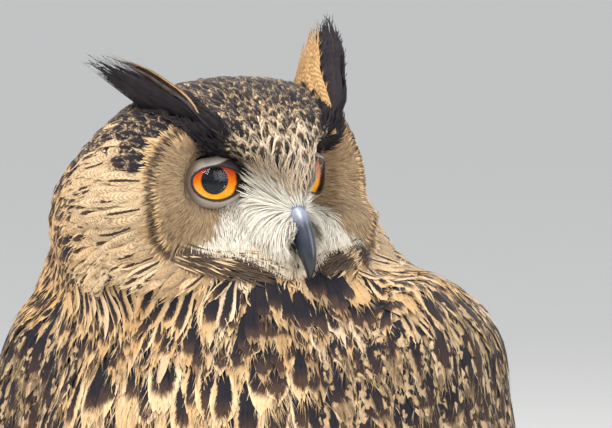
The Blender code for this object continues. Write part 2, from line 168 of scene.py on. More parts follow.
class OwlHorn(bpy.types.PropertyGroup):
    """Colours of the bill and the claws."""

    slate: shade("Slate", "Body of the bill", 30, 38, 52)
    tip: shade("Tip", "Tips of the bill and claws", 15, 15, 19)
    claw: shade("Claw", "Root of the claws", 66, 60, 58)
    # Partly the cere's own blue-grey, partly a painted highlight: lightened for the gloss along the ridge
    # at the bill's root.
    cere_and_highlight: shade("Cere", "Skin at the bill's root", 136, 142, 160)


class OwlStudio(bpy.types.PropertyGroup):
    """Floor, light and camera."""

    floor: shade("Floor", "Floor colour", 214, 212, 208)
    key_power: strength("Key light", "Power in watts", 71.0)
    fill_power: strength("Fill light", "Power in watts", 30.0)
    sky: strength("Room light", "Strength of the light all round", 0.82)
    azimuth: FloatProperty(name="Camera azimuth", default=math.radians(20), subtype="ANGLE")
    elevation: FloatProperty(name="Camera elevation", default=math.radians(5), subtype="ANGLE")
    distance: measure("Camera distance", "From the camera to the face", 1.8)
    width: measure("View width", "Width of the view at the owl", 0.3213)
    aside: measure("Camera aside", "How far it aims to the right of the face", 50.4 * MM)
    below: measure("Camera below", "How far it aims below the face", 16.8 * MM)


GROUPS = {"owl_coat": OwlCoat, "owl_eyes": OwlEyes, "owl_horn": OwlHorn, "owl_studio": OwlStudio}


# ---------------------------------------------------------------- materials


class Number:
    """A number socket in a material; arithmetic on it adds Math nodes."""

    def __init__(self, finish, socket):
        self.finish = finish
        self.socket = socket

    def __add__(self, other):
        return self.finish.maths("ADD", self, other)

    def __sub__(self, other):
        return self.finish.maths("SUBTRACT", self, other)

    def __rsub__(self, other):
        return self.finish.maths("SUBTRACT", other, self)

    def __mul__(self, other):
        return self.finish.maths("MULTIPLY", self, other)

    def __abs__(self):
        return self.finish.maths("ABSOLUTE", self)

    __radd__ = __add__
    __rmul__ = __mul__


class Finish:
    """A material in the making."""

    def __init__(self, name, **shader):
        self.material = bpy.data.materials.new(name)
        self.material.use_nodes = True
        self.tree = self.material.node_tree
        self.shader = self.tree.nodes["Principled BSDF"]
        self.set(**shader)

    def set(self, **shader):
        """Values that are the same all over the surface."""
        for socket, value in shader.items():
            self.shader.inputs[socket.replace("_", " ")].default_value = value

    def node(self, kind, settings=None, **sockets):
        """Adds a node: its settings first, then the value or link of each named socket."""
        made = self.tree.nodes.new(kind)
        for name, value in (settings or {}).items():
            setattr(made, name, value)
        by_name = {socket.identifier: socket for socket in made.inputs}
        for name, value in sockets.items():
            self.plug(value, by_name[name])
        return made

    def plug(self, value, socket):
        if isinstance(value, Number):
            value = value.socket
        if isinstance(value, bpy.types.NodeSocket):
            self.tree.links.new(value, socket)
        else:
            socket.default_value = value

    def numbers(self, node):
        return [Number(self, socket) for socket in node.outputs]

    def maths(self, operation, first, second=0.0):
        made = self.node("ShaderNodeMath", {"operation": operation}, Value=first, Value_001=second)
        return Number(self, made.outputs[0])

    def ease(self, low, high, value):
        """0 below low and 1 above high, with a smooth rise between."""
        settings = {"interpolation_type": "SMOOTHSTEP"}
        made = self.node("ShaderNodeMapRange", settings, Value=value)
        self.plug(low, made.inputs["From Min"])
        self.plug(high, made.inputs["From Max"])
        return Number(self, made.outputs["Result"])

    def wave(self, value):
        """0 to 1 and back, once for each whole step of value."""
        return self.maths("SINE", value * math.tau) * 0.5 + 0.5

    def mix(self, factor, first, second):
        """Between two colours, each a socket or a plain colour."""
        first, second = ((*c, 1.0) if isinstance(c, tuple) else c for c in (first, second))
        settings = {"data_type": "RGBA"}
        made = self.node("ShaderNodeMix", settings, Factor_Float=factor, A_Color=first, B_Color=second)
        return made.outputs[2]

    def times(self, colour, amount):
        """A colour made lighter or darker by a number."""
        settings = {"operation": "SCALE"}
        return self.node("ShaderNodeVectorMath", settings, Vector=colour, Scale=amount).outputs[0]

    def vector(self, x, y, z):
        return self.node("ShaderNodeCombineXYZ", X=x, Y=y, Z=z).outputs[0]

    def noise(self, place, scale, detail=2.0, roughness=0.5):
        sockets = {"Vector": place, "Scale": scale, "Detail": detail, "Roughness": roughness}
        return Number(self, self.node("ShaderNodeTexNoise", **sockets).outputs[0])

    def paint(self, name):
        """The colour, the separate channels and the fourth value of a painted attribute."""
        made = self.node("ShaderNodeAttribute", {"attribute_name": name})
        parts = self.node("ShaderNodeSeparateColor", Color=made.outputs["Color"])
        return made.outputs["Color"], self.numbers(parts), Number(self, made.outputs["Alpha"])

    def layout(self, name):
        """The two directions of a piece's own UV map."""
        made = self.node("ShaderNodeUVMap", {"uv_map": name})
        return self.numbers(self.node("ShaderNodeSeparateXYZ", Vector=made.outputs[0]))[:2]

    def place(self):
        return self.node("ShaderNodeTexCoord").outputs["Object"]

    def bump(self, height, distance, strength=1.0):
        made = self.node("ShaderNodeBump", Height=height, Distance=distance, Strength=strength)
        self.plug(made.outputs[0], self.shader.inputs["Normal"])

    def colour(self, value):
        self.plug(value, self.shader.inputs["Base Color"])

    def roughness(self, value):
        self.plug(value, self.shader.inputs["Roughness"])


def plumage_finish():
    """Feathers: a dark centre streak, edge notches and fine bars, drawn in each vane's own UV map, with
    painted shade towards each vane's base.
    """
    finish = Finish("feathers", Roughness=0.7, Specular_IOR_Level=0.16, Sheen_Weight=0.04)
    across, along = finish.layout("Vane")
    out = abs(across * 2 - 1)
    ground, _, seed = finish.paint("Ground")
    mark, _, width = finish.paint("Mark")
    _, (bars, notches, count), blend = finish.paint("Pattern")
    barb = along - out * 0.22
    rough = finish.noise(finish.vector(across * 3, barb * 34, seed * 97), 1.0, 3.0, 0.65)
    cloud = finish.noise(finish.vector(across * 1.5, along * 3, seed * 61), 1.6, 2.0)
    tipped = finish.ease(0.93, 0.80, along + (rough - 0.5) * 0.16 + (seed - 0.5) * 0.14 + out * 0.05)
    tipped = tipped + finish.ease(0.80, 1.3, width) * 0.75
    reach = width * (0.62 + cloud * 0.9) - out
    streak = finish.ease(-0.07, 0.09, reach + (rough - 0.5) * 0.45) * tipped
    lines = finish.wave(along * count * 40 + out * out * 1.4 + (cloud - 0.5) * 1.6 + seed * 7)
    spots = finish.noise(finish.vector(across * 4 + seed * 31, along * count * 52, seed * 13), 1.0, 1.5)
    notch = finish.ease(0.46, 0.56, spots) * finish.ease(0.10, 0.45, out + (rough - 0.5) * 0.4) * notches
    line = finish.ease(0.35, 0.95, lines * 0.6 + rough * 0.75 - 0.05) * bars
    coat = bpy.context.scene.owl_coat
    edge = finish.ease(0.45, 1.0, out + (cloud - 0.5) * 0.6) * finish.ease(0.0, 0.1, width) * 0.4
    edged = finish.mix(edge, ground, tuple(coat.cream))
    # Painted shade: each vane darkens towards its base, where the feather over it covers it; the cloud
    # varies its tone at random.
    pale = finish.times(edged, (0.80 + cloud * 0.34) * (0.76 + finish.ease(0.05, 0.6, along) * 0.28))
    barred = finish.mix(line, pale, finish.times(mark, 1.9))
    fading = finish.ease(0.55, 0.86, along + (rough - 0.5) * 0.3) * blend
    dark = finish.mix(fading, mark, tuple(coat.brown))
    feather = finish.mix(streak * (1 - notch), barred, dark)
    finish.colour(finish.times(feather, 0.82 + rough * 0.36))
    finish.roughness(0.62 + rough * 0.2)
    finish.bump(finish.wave(barb * 61) * 0.5 + rough * 1.5, 0.25 * MM, 0.3)
    return finish.material


def skin_finish():
    """Down and skin between the feathers: the markings of the place, darkened as painted shade under the
    coat, and soft.
    """
    finish = Finish("down", Roughness=0.9, Specular_IOR_Level=0.1, Sheen_Weight=0.15)
    ground, _, _ = finish.paint("Ground")
    mark, _, width = finish.paint("Mark")
    speck = finish.noise(finish.place(), 260.0, 3.0)
    patch = finish.noise(finish.place(), 60.0, 2.0)
    spotted = finish.mix(finish.ease(0.45, 0.65, patch) * width, ground, mark)
    # Painted shade: the down is darkened to between about half and nine tenths, by a fine speckle, for the
    # shade under the feathers.
    finish.colour(finish.times(spotted, 0.55 + speck * 0.4))
    finish.bump(speck, 0.6 * MM, 0.6)
    return finish.material


def eye_finish():
    """Iris, pupil and dark edge, from the distance to the middle of the eye's own map, with a faint painted
    glow.
    """
    eyes = bpy.context.scene.owl_eyes
    # Painted light: the iris glows faintly in its own colours, so that it stays bright where the lids and
    # the brow shade it.
    finish = Finish("iris", Roughness=0.5, Specular_IOR_Level=0.0, Emission_Strength=0.22)
    finish.set(Coat_Weight=1.0, Coat_Roughness=0.02, Coat_IOR=1.3)
    across, up = finish.layout("Iris")
    x = (across - 0.5) * (2 * EYE_RADIUS / MM)
    y = (up - 0.5) * (2 * EYE_RADIUS / MM)
    far = finish.maths("SQRT", x * x + y * y)
    turn = finish.maths("ARCTAN2", y, x)
    fibre = finish.noise(finish.vector(turn * 9, far * 0.25, 3.0), 1.0, 3.0, 0.7)
    cloud = finish.noise(finish.vector(x, y, 0.0), 0.35, 2.0)
    # Painted shade: amber below turns to red at the top of the iris, for the upper lid's shade.
    height = finish.ease(-9.0, 8.0, y + (cloud - 0.5) * 4 + abs(x) * 0.12)
    iris = finish.mix(height, tuple(eyes.amber), tuple(eyes.red))
    iris = finish.times(iris, 0.8 + fibre * 0.4)
    pupil, iris_edge = eyes.pupil / MM, eyes.iris / MM
    inner = finish.ease(pupil + 0.9, pupil, far + (fibre - 0.5) * 0.3)
    iris = finish.mix(inner * 0.45, iris, linear(150, 50, 4))
    iris = finish.mix(finish.ease(iris_edge - 1.3, iris_edge - 0.1, far), iris, linear(70, 18, 6))
    whole = finish.mix(finish.ease(pupil + 0.12, pupil - 0.12, far), iris, linear(10, 12, 20))
    whole = finish.mix(finish.ease(iris_edge - 0.2, iris_edge + 0.2, far), whole, linear(14, 10, 10))
    finish.colour(whole)
    # Painted light: the same colours feed the glow.
    finish.plug(whole, finish.shader.inputs["Emission Color"])
    return finish.material


def cornea_finish():
    """Clear and wet, with a thin film that breaks its gloss a little."""
    finish = Finish("cornea", Base_Color=(*linear(6, 6, 8), 1.0), Alpha=0.08, IOR=2.2)
    finish.roughness(0.02 + finish.noise(finish.place(), 300.0, 2.0) * 0.05)
    return finish.material


def lid_finish():
    """Bare lids: a thin dark rim, a pale band, and black at the corner by the bill."""
    eyes = bpy.context.scene.owl_eyes
    finish = Finish("lid", Roughness=0.6, Specular_IOR_Level=0.3)
    _, (outer, upper, out), _ = finish.paint("Rim")
    grain = finish.noise(finish.place(), 900.0, 3.0)
    folds = finish.wave(out * 5 + (grain - 0.5) * 0.8)
    corner = finish.ease(0.10, 0.02, outer)
    over = finish.ease(0.60, 0.88, upper) * finish.ease(0.60, 0.10, outer)
    aside = finish.ease(0.72, 0.97, outer)
    band = finish.mix(grain * 0.6, tuple(eyes.lid), linear(128, 116, 104))
    band = finish.mix(aside * 0.8, band, linear(112, 94, 78))
    dark = finish.ease(0.50 + over * 0.8, 0.34 + over * 0.8, out + (grain - 0.5) * 0.2)
    dark = finish.maths("MAXIMUM", dark, corner)
    finish.colour(finish.mix(dark, band, tuple(eyes.rim)))
    finish.roughness(0.5 + grain * 0.3)
    finish.bump(folds * 0.6 + grain, 0.15 * MM, 0.5)
    return finish.material


def horn_finish(name, body, root):
    """Horn with growth lines, darker to the tip and of another colour at its root."""
    horn = bpy.context.scene.owl_horn
    finish = Finish(name, Roughness=0.3, Coat_Weight=0.35, Coat_Roughness=0.18)
    around, along = finish.layout("Length")
    grain = finish.noise(finish.place(), 420.0, 3.0)
    streaks = finish.noise(finish.vector(around * 40, along * 3, 0.0), 1.0, 2.0)
    shade = finish.times(body, 0.75 + streaks * 0.5)
    shade = finish.mix(finish.ease(0.5, 0.95, along), shade, tuple(horn.tip))
    shade = finish.mix(finish.ease(0.42, 0.20, along + (grain - 0.5) * 0.1), shade, root)
    finish.colour(shade)
    finish.roughness(0.22 + grain * 0.22 + finish.ease(0.3, 0.1, along) * 0.2)
    finish.bump(streaks * 0.5 + finish.wave(along * 9 + grain) * 0.4, 0.12 * MM, 0.4)
    return finish.material


def bill_finish():
    horn = bpy.context.scene.owl_horn
    # The bill's root is painted in the cere's colour, lightened as a painted highlight of the ridge's
    # gloss.
    return horn_finish("bill_keratin", tuple(horn.slate), tuple(horn.cere_and_highlight))


def claw_finish():
    horn = bpy.context.scene.owl_horn
    return horn_finish("claw_keratin", tuple(horn.claw), tuple(horn.claw))


def floor_finish():
    finish = Finish("studio_floor", Roughness=0.6, Specular_IOR_Level=0.2)
    cloud = finish.noise(finish.place(), 3.0, 3.0)
    shade = tuple(bpy.context.scene.owl_studio.floor)
    finish.colour(finish.mix(cloud * 0.2, shade, tuple(part * 0.93 for part in shade)))
    return finish.material


MAKERS = {
    "feathers": plumage_finish,
    "down": skin_finish,
    "iris": eye_finish,
    "cornea": cornea_finish,
    "lid": lid_finish,
    "bill_keratin": bill_finish,
    "claw_keratin": claw_finish,
    "studio_floor": floor_finish,
}


def material(name):
    return bpy.data.materials.get(name) or MAKERS[name]()


# ---------------------------------------------------------------- modelling helpers


def start_fresh():
    """Leaves object mode on, and nothing selected."""
    if bpy.context.mode != "OBJECT":
        bpy.ops.object.mode_set(mode="OBJECT")
    bpy.ops.object.select_all(action="DESELECT")


def active():
    return bpy.context.view_layer.objects.active


def take_name(thing, name):
    thing.name = name
    thing.data.name = name
    return thing


def pick(thing):
    """Makes the object the only one selected, and active."""
    start_fresh()
    thing.select_set(True)
    bpy.context.view_layer.objects.active = thing


@contextmanager
def editing():
    """Edit mode for a while, with the whole mesh selected."""
    bpy.ops.object.mode_set(mode="EDIT")
    bpy.ops.mesh.select_all(action="SELECT")
    yield
    bpy.ops.object.mode_set(mode="OBJECT")


def settle(thing, matrix):
    """Moves the mesh itself by the matrix, so that the object sits at the origin."""
    thing.matrix_world = matrix
    pick(thing)
    bpy.ops.object.transform_apply(location=True, rotation=True, scale=True)


def wear(thing, finish, slot, *nodes):
    """Gives a finished piece its material and its body, and hides the nodes that it stands for; the slot is
    not used.
    """
    thing.data.materials.clear()
    thing.data.materials.append(material(finish))
    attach(thing, BODY)
    if nodes:
        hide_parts(*nodes)


def apply_modifier(thing, kind, **settings):
    step = thing.modifiers.new("step", kind)
    for name, value in settings.items():
        setattr(step, name, value)
    pick(thing)
    bpy.ops.object.modifier_apply(modifier="step")


def round_off(thing):
    """Smooths a coarse shape and its shading."""
    apply_modifier(thing, "SUBSURF", levels=1, render_levels=1)
    thing.data.shade_smooth()


def place_object(name, data):
    thing = bpy.data.objects.new(name, data)
    bpy.context.scene.collection.objects.link(thing)
    return thing


def read(items, name, kind=np.int32, width=1):
    """One property of every item of a mesh, as rows."""
    flat = np.empty(len(items) * width, kind)
    items.foreach_get(name, flat)
    return flat.reshape(-1, width)


def write(items, name, values, kind=np.float32):
    items.foreach_set(name, values.astype(kind).ravel())


def coordinates(mesh):
    return read(mesh.vertices, "co", np.float32, 3).astype(float)


def add_paint(mesh, name, values):
    """A painted attribute, from four values for each vertex."""
    write(mesh.color_attributes.new(name, "FLOAT_COLOR", "POINT").data, "color", values)


def unit(vectors):
    return vectors / np.maximum(np.linalg.norm(vectors, axis=-1, keepdims=True), 1e-9)


def rows_of(*columns):
    """Rows from columns, of which some may be one number for all."""
    return np.stack(np.broadcast_arrays(*columns), axis=1)


def along_surface(directions, normals):
    """Directions laid flat on a surface, at length one."""
    depth = (directions * normals).sum(axis=-1, keepdims=True)
    return unit(directions - normals * depth)


def ease(low, high, value):
    share = np.clip((value - low) / (high - low), 0.0, 1.0)
    return share * share * (3 - 2 * share)


def to_head(places):
    return (places - HEAD_ORIGIN) @ HEAD_AXES.T


def draws(offset):
    """Random draws of one piece's own."""
    return np.random.default_rng(bpy.context.scene.owl_coat.seed + offset)


def wander(places, scale, seed):
    """A smooth field of -1 to 1 over space, from crossing waves."""
    draw = np.random.default_rng(seed)
    total = np.zeros(len(places))
    for _ in range(6):
        direction = unit(draw.normal(size=3))
        total += np.sin(places @ direction * draw.uniform(0.7, 1.6) / scale + draw.uniform(0, math.tau))
    return total / 3.2


# ---------------------------------------------------------------- skin

# How far the flesh swells before it is joined, how often each step is smoothed, and the most of the flesh's
# thickness that the coat may take.
FLESH_SWELL = 0.5 * MM
JOIN_PASSES = 6
DEPTH_PASSES = 4
NECK_PASSES = 18
LAST_PASSES = 3
MOST_OF_THICKNESS = 0.35

# Where the coat is thinner or thicker than usual.
DEPTH_ON_FEET = 2.0 * MM
CHEEK_HOLLOW = 7.0 * MM
SHOULDER_SWELL = 5.5 * MM
BILL_HOLLOW = 2.0 * MM

# How far outside a solid's box its surface may still be the nearest, and how many roots are tried for each
# one that finds room.
NODE_MARGIN = 10 * MM
TRIES_FOR_ROOTS = 5

# Where the lids leave the globe, out from the middle of the eye, and how steeply they fall away from there.
CONE_START = 11 * MM
CONE_SLOPE = 0.72


class Skin:
    """The finished skin's surface: nearest places, normals, and roots spread evenly over it."""

    def __init__(self, mesh, labels):
        mesh.calc_loop_triangles()
        self.points = coordinates(mesh)
        self.triangles = read(mesh.loop_triangles, "vertices", width=3)
        self.normals = read(mesh.vertices, "normal", np.float32, 3).astype(float)
        self.tree = BVHTree.FromPolygons(self.points.tolist(), self.triangles.tolist())
        corners = self.points[self.triangles]
        first, second, third = corners.transpose(1, 0, 2)
        self.areas = np.linalg.norm(np.cross(second - first, third - first), axis=1) / 2
        self.centres = corners.mean(axis=1)
        self.labels = labels[self.triangles[:, 0]]

    def blend(self, index, places):
        """Normals of the triangles at index, blended between their corners."""
        first, second, third = self.points[self.triangles[index]].transpose(1, 0, 2)
        whole = np.linalg.norm(np.cross(second - first, third - first), axis=1) + 1e-15
        b = np.linalg.norm(np.cross(places - first, third - first), axis=1) / whole
        c = np.linalg.norm(np.cross(places - first, second - first), axis=1) / whole
        weights = np.stack([np.clip(1 - b - c, 0, 1), b, c], axis=1)[:, :, None]
        return unit((self.normals[self.triangles[index]] * weights).sum(axis=1))

    def nearest(self, places):
        found = np.empty_like(places)
        index = np.empty(len(places), int)
        for i, place in enumerate(places.tolist()):
            spot, _, index[i], _ = self.tree.find_nearest(place)
            found[i] = spot
        return found, self.blend(index, found)

    def spread(self, faces, spacing, draw):
        """Roots on the chosen faces, no two nearer than the spacing."""
        chosen = np.flatnonzero(faces)
        areas = self.areas[chosen]
        count = int(areas.sum() / spacing**2 * TRIES_FOR_ROOTS)
        picked = chosen[draw.choice(len(chosen), count, p=areas / areas.sum())]
        b, c = draw.random(count), draw.random(count)
        over = b + c > 1
        b[over], c[over] = 1 - b[over], 1 - c[over]
        first, second, third = self.points[self.triangles[picked]].transpose(1, 0, 2)
        places = first + (second - first) * b[:, None] + (third - first) * c[:, None]
        keep = spaced_out(places, spacing)
        return places[keep], self.blend(picked[keep], places[keep])


def spaced_out(places, spacing):
    """Index of the places kept when each in turn must lie clear of those kept before."""
    cells = {}
    kept = []
    limit = spacing * spacing
    keys = np.floor(places / spacing).astype(int).tolist()
    steps = [(i, j, k) for i in (-1, 0, 1) for j in (-1, 0, 1) for k in (-1, 0, 1)]
    for index, ((i, j, k), (x, y, z)) in enumerate(zip(keys, places.tolist())):
        near = False
        for di, dj, dk in steps:
            for px, py, pz in cells.get((i + di, j + dj, k + dk), ()):
                if (px - x) ** 2 + (py - y) ** 2 + (pz - z) ** 2 < limit:
                    near = True
                    break
            if near:
                break
        if not near:
            cells.setdefault((i, j, k), []).append((x, y, z))
            kept.append(index)
    return np.array(kept, int)


def nearest_node(points, nodes):
    """For each point, the index in nodes of the solid whose surface is nearest."""
    best = np.full(len(points), np.inf)
    label = np.zeros(len(points), int)
    for index, name in enumerate(nodes):
        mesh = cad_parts[name].data
        mesh.calc_loop_triangles()
        corners = [tuple(triangle.vertices) for triangle in mesh.loop_triangles]
        tree = BVHTree.FromPolygons([v.co for v in mesh.vertices], corners)
        low, high = (np.array(corner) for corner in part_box(name))
        within = (points > low - NODE_MARGIN) & (points < high + NODE_MARGIN)
        for i in np.flatnonzero(within.all(axis=1)).tolist():
            place = points[i].tolist()
            distance = tree.find_nearest(place)[3]
            if distance < best[i]:
                best[i] = distance
                label[i] = index
    return label


def belongs(labels, *names):
    """True for the places that lie nearest to one of the named solids."""
    return np.isin(labels, [FLESH.index(name) for name in names])


def coat_depth(points, labels):
    """How far the skin lies inside the outline: deep on the body, thin on the face and the feet."""
    x, y, z = to_head(points).T
    face = ease(-10 * MM, -34 * MM, y) * (points[:, 2] > NECK_LINE)
    depth = bpy.context.scene.owl_coat.depth * (1 - 0.62 * face)
    depth[belongs(labels, *FOOT_NODES)] = DEPTH_ON_FEET
    cheek = ease(38 * MM, 56 * MM, np.abs(x)) * ease(30 * MM, 0.0, y)
    depth += CHEEK_HOLLOW * cheek * ease(-12 * MM, -26 * MM, z) * ease(-52 * MM, -40 * MM, z)
    shoulder = ease(72 * MM, 104 * MM, points[:, 0]) * ease(0.37, 0.41, points[:, 2])
    depth -= SHOULDER_SWELL * (shoulder * ~belongs(labels, "head"))
    bill = ease(7.5 * MM, 4 * MM, np.abs(x)) * (y < -56 * MM)
    return depth + BILL_HOLLOW * bill * ease(0, -6 * MM, z) * ease(-38 * MM, -32 * MM, z)


def spread_over_edges(mesh, values, times):
    """Rows of values at the vertices, averaged with their neighbours."""
    ends = read(mesh.edges, "vertices", width=2)
    first, second = ends.T
    count = np.bincount(ends.ravel(), minlength=len(values)) + 1
    for _ in range(times):
        total = values.copy()
        for column, before in zip(total.T, values.T):
            column += np.bincount(first, before[second], len(before))
            column += np.bincount(second, before[first], len(before))
        values = total / count[:, None]
    return values


def make_skin():
    """Copies of the flesh grown into each other, remeshed as one, smoothed and drawn in."""
    start_fresh()
    copies = [place_object("flesh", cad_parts[name].data.copy()) for name in FLESH]
    for thing in copies:
        thing.select_set(True)
    bpy.context.view_layer.objects.active = copies[0]
    bpy.ops.object.join()
    thing = take_name(active(), "owl_skin")
    with editing():
        bpy.ops.mesh.remove_doubles(threshold=0.01 * MM)
    apply_modifier(thing, "DISPLACE", strength=FLESH_SWELL, mid_level=0.0, direction="NORMAL")
    thing.data.remesh_voxel_size = bpy.context.scene.owl_coat.voxel
    bpy.ops.object.voxel_remesh()
    apply_modifier(thing, "SMOOTH", factor=0.5, iterations=JOIN_PASSES)
    keep_largest(thing)
    mesh = thing.data
    mesh.update()
    points = coordinates(mesh)
    labels = nearest_node(points, FLESH)
    skin = Skin(mesh, labels)
    thickness = np.full(len(points), 1.0)
    for i, (place, normal) in enumerate(zip(points, skin.normals)):
        hit = skin.tree.ray_cast(Vector(place - normal * 0.5 * MM), Vector(-normal), 0.1)[3]
        if hit:
            thickness[i] = hit
    depth = np.minimum(coat_depth(points, labels), thickness * MOST_OF_THICKNESS)
    depth = spread_over_edges(mesh, depth[:, None], DEPTH_PASSES)
    points = points - skin.normals * depth
    crease = ease(NECK_LINE - 20 * MM, NECK_LINE + 5 * MM, points[:, 2])
    crease *= ease(HEAD_LINE + 30 * MM, HEAD_LINE + 8 * MM, points[:, 2])
    points += (spread_over_edges(mesh, points, NECK_PASSES) - points) * crease[:, None]
    points = sink_round_eyes(points)
    write(mesh.vertices, "co", points)
    mesh.update()
    apply_modifier(thing, "SMOOTH", factor=0.5, iterations=LAST_PASSES)
    thing.data.shade_smooth()
    return thing, labels


def sink_round_eyes(points):
    """Draws the skin back behind the lids, so that the globes and the lids stand in front of it."""
    for side in SIDES:
        across, up, ahead = eye_view(points, side)
        away = np.hypot(across, up)
        shell = lid_surface(away, -1.2 * MM) - 9 * MM * ease(14 * MM, 12.6 * MM, away)
        over = np.maximum(ahead - shell, 0.0) * (ahead > -4 * MM) * ease(20 * MM, 15 * MM, away)
        forward = np.array(gaze(side)[0])
        points = points - over[:, None] * forward
    return points


def eye_view(points, side):
    """Points as seen into an eye: across it, up, and ahead of its centre."""
    forward, across, up = (np.array(axis) for axis in gaze(side))
    offset = points - np.array(EYE_CENTRES[side])
    return offset @ across, offset @ up, offset @ forward


def lid_surface(away, off):
    """How far ahead of the eye's centre the lids lie: on the globe, then straight down a cone beside it."""
    reach = EYE_RADIUS + off
    globe = np.sqrt(np.maximum(reach**2 - np.minimum(away, CONE_START) ** 2, 0.0))
    return globe - CONE_SLOPE * np.maximum(away - CONE_START, 0.0)


def keep_largest(thing):
    """Deletes the loose scraps that a remesh leaves inside the body."""
    mesh = thing.data
    first, second = read(mesh.edges, "vertices", width=2).T
    group = np.arange(len(mesh.vertices))
    while True:
        low = np.minimum(group[first], group[second])
        fresh = group.copy()
        np.minimum.at(fresh, first, low)
        np.minimum.at(fresh, second, low)
        fresh = fresh[fresh]
        if (fresh == group).all():
            break
        group = fresh
    names, counts = np.unique(group, return_counts=True)
    scraps = group != names[counts.argmax()]
    pick(thing)
    bpy.ops.object.mode_set(mode="EDIT")
    bpy.ops.mesh.select_all(action="DESELECT")
    bpy.ops.object.mode_set(mode="OBJECT")
    mesh.vertices.foreach_set("select", scraps)
    bpy.ops.object.mode_set(mode="EDIT")
    bpy.ops.mesh.select_mode(type="VERT")
    bpy.ops.mesh.delete(type="VERT")
    bpy.ops.object.mode_set(mode="OBJECT")


# ---------------------------------------------------------------- tracts of the coat

# Sizes in mm: how far apart the roots are, length, half width and lift of a feather's tip; then its grid,
# its loose barbs, how much it arches, how ragged its tip is and how far its lie wanders.
Size = namedtuple(
    "Size", "apart length half lift rows columns barbs arch fray stray", defaults=(0, 0.0, 0.0, 0.10)
)
TRACTS = {
    "disc": Size(0.88, 8.0, 0.27, 0.9, 4, 2, stray=0.25),
    "rim": Size(1.00, 4.8, 0.45, 1.7, 4, 2, stray=0.25),
    "lores": Size(0.70, 11.0, 0.25, 2.2, 5, 2, stray=0.36),
    "brow": Size(0.95, 11.0, 0.62, 4.2, 5, 2, stray=0.16),
    "chin": Size(1.15, 15.0, 0.48, 2.4, 5, 2, stray=0.20),
    "crown": Size(3.5, 14.0, 3.3, 2.0, 6, 5, 10, 0.3, 0.10),
    "side": Size(4.2, 24.0, 2.8, 2.8, 7, 5, 18, 0.3, 0.12),
    "ruff": Size(3.4, 18.0, 2.5, 3.2, 6, 5, 22, 0.25, 0.15),
    "collar": Size(5.4, 30.0, 4.6, 3.2, 7, 5, 44, 0.2, 0.12, 0.18),
    "bib": Size(10.0, 42.0, 7.6, 3.6, 9, 7, 120, 0.16, 0.06),
    "breast": Size(13.0, 58.0, 9.4, 3.8, 10, 9, 150, 0.15, 0.05),
    "belly": Size(13.0, 52.0, 9.6, 3.8, 10, 7, 90, 0.15, 0.05),
    "mantle": Size(10.5, 46.0, 7.5, 3.2, 8, 7, 40, 0.2, 0.04),
    "lesser": Size(10.5, 44.0, 7.6, 3.0, 8, 7, 60, 0.2, 0.06),
    "median": Size(12.5, 56.0, 9.0, 3.2, 8, 7, 50, 0.2, 0.05),
    "greater": Size(14.0, 66.0, 10.5, 3.4, 9, 7, 30, 0.2, 0.03),
    "under": Size(10.0, 36.0, 9.0, 2.4, 7, 5, 12, 0.2, 0.03),
    "rump": Size(9.5, 42.0, 8.5, 3.2, 7, 7, 24, 0.25, 0.06),
    "leg": Size(3.6, 17.0, 2.6, 3.0, 5, 5, 16, 0.3, 0.15),
    "foot": Size(2.2, 8.0, 1.2, 1.5, 4, 3, 5, 0.3, 0.15),
}

# The folded wing's front top corner, and how much going back counts beside going down; then how far along
# it each tract ends, the later over the earlier.
WING_TOP, WING_FRONT, WING_SLANT = 0.45, -0.10, 0.55
WING_TRACTS = {"greater": 0.27, "median": 0.20, "lesser": 0.13}

# Plain short feathers that fill the gaps under those of the larger tracts.
DOWN = Size(5.4, 20.0, 3.6, 1.5, 5, 5, 12, 0.2, 0.12, 0.3)
FLUFF = Size(3.0, 8.0, 1.6, 0.6, 4, 3, arch=0.2, fray=0.2, stray=0.6)
UNDERCOATS = dict.fromkeys(("crown", "side", "ruff", "collar"), FLUFF)
UNDERCOATS |= dict.fromkeys(("bib", "breast", "belly", "mantle", "rump", *WING_TRACTS), DOWN)

# Each piece's tracts, and the size in mm of a feather's patch on the OFBake map.
WING_COAT = (("lesser", "median", "greater", "under"), 8.0)
PIECES = {
    "coat_face": (("disc", "rim", "lores", "brow", "chin"), 3.0),
    "coat_crown": (("crown",), 4.0),
    "coat_side": (("side",), 4.0),
    "coat_ruff": (("ruff", "collar"), 4.0),
    "coat_bib": (("bib",), 8.0),
    "coat_breast": (("breast",), 8.0),
    "coat_belly": (("belly",), 8.0),
    "coat_back": (("mantle", "rump", "under"), 7.0),
    "coat_wing_left": WING_COAT,
    "coat_wing_right": WING_COAT,
    "coat_legs": (("leg", "foot"), 4.5),
}

# Lines between the tracts of the body: heights, and how far back the mantle and the rump start.
BELLY_TOP = 0.21
SHOULDER_FOOT = 0.24
RUMP_TOP = 0.23
TAIL_ROOT = 0.14
MANTLE_START = 35 * MM
RUMP_START = 30 * MM


def table(columns, at):
    return np.interp(at / MM, *columns) * MM


def brow_distance(x, z):
    """Distance from the dark brow line as a share of its half width there."""
    share = np.full(len(x), 9.0)
    for (x0, z0), (x1, z1), w0, w1 in zip(BROW_LINE, BROW_LINE[1:], BROW_HALF, BROW_HALF[1:]):
        start, end = np.array([x0, z0]) * MM, np.array([x1, z1]) * MM
        line = end - start
        t = np.clip(((x - start[0]) * line[0] + (z - start[1]) * line[1]) / (line @ line), 0, 1)
        away = np.hypot(x - start[0] - line[0] * t, z - start[1] - line[1] * t)
        share = np.minimum(share, away / ((w0 + (w1 - w0) * t) * MM))
    return share


def disc_ring(x, z):
    """0 at the middle of the facial disc, 1 on its rim."""
    return np.hypot((x - DISC_CENTRE[0]) / DISC_HALF[0], (z - DISC_CENTRE[1]) / DISC_HALF[1])


def wing_reach(places):
    """How far down and back along the folded wing a place is, from its front top corner."""
    return (WING_TOP - places[:, 2]) + WING_SLANT * (places[:, 1] - WING_FRONT)


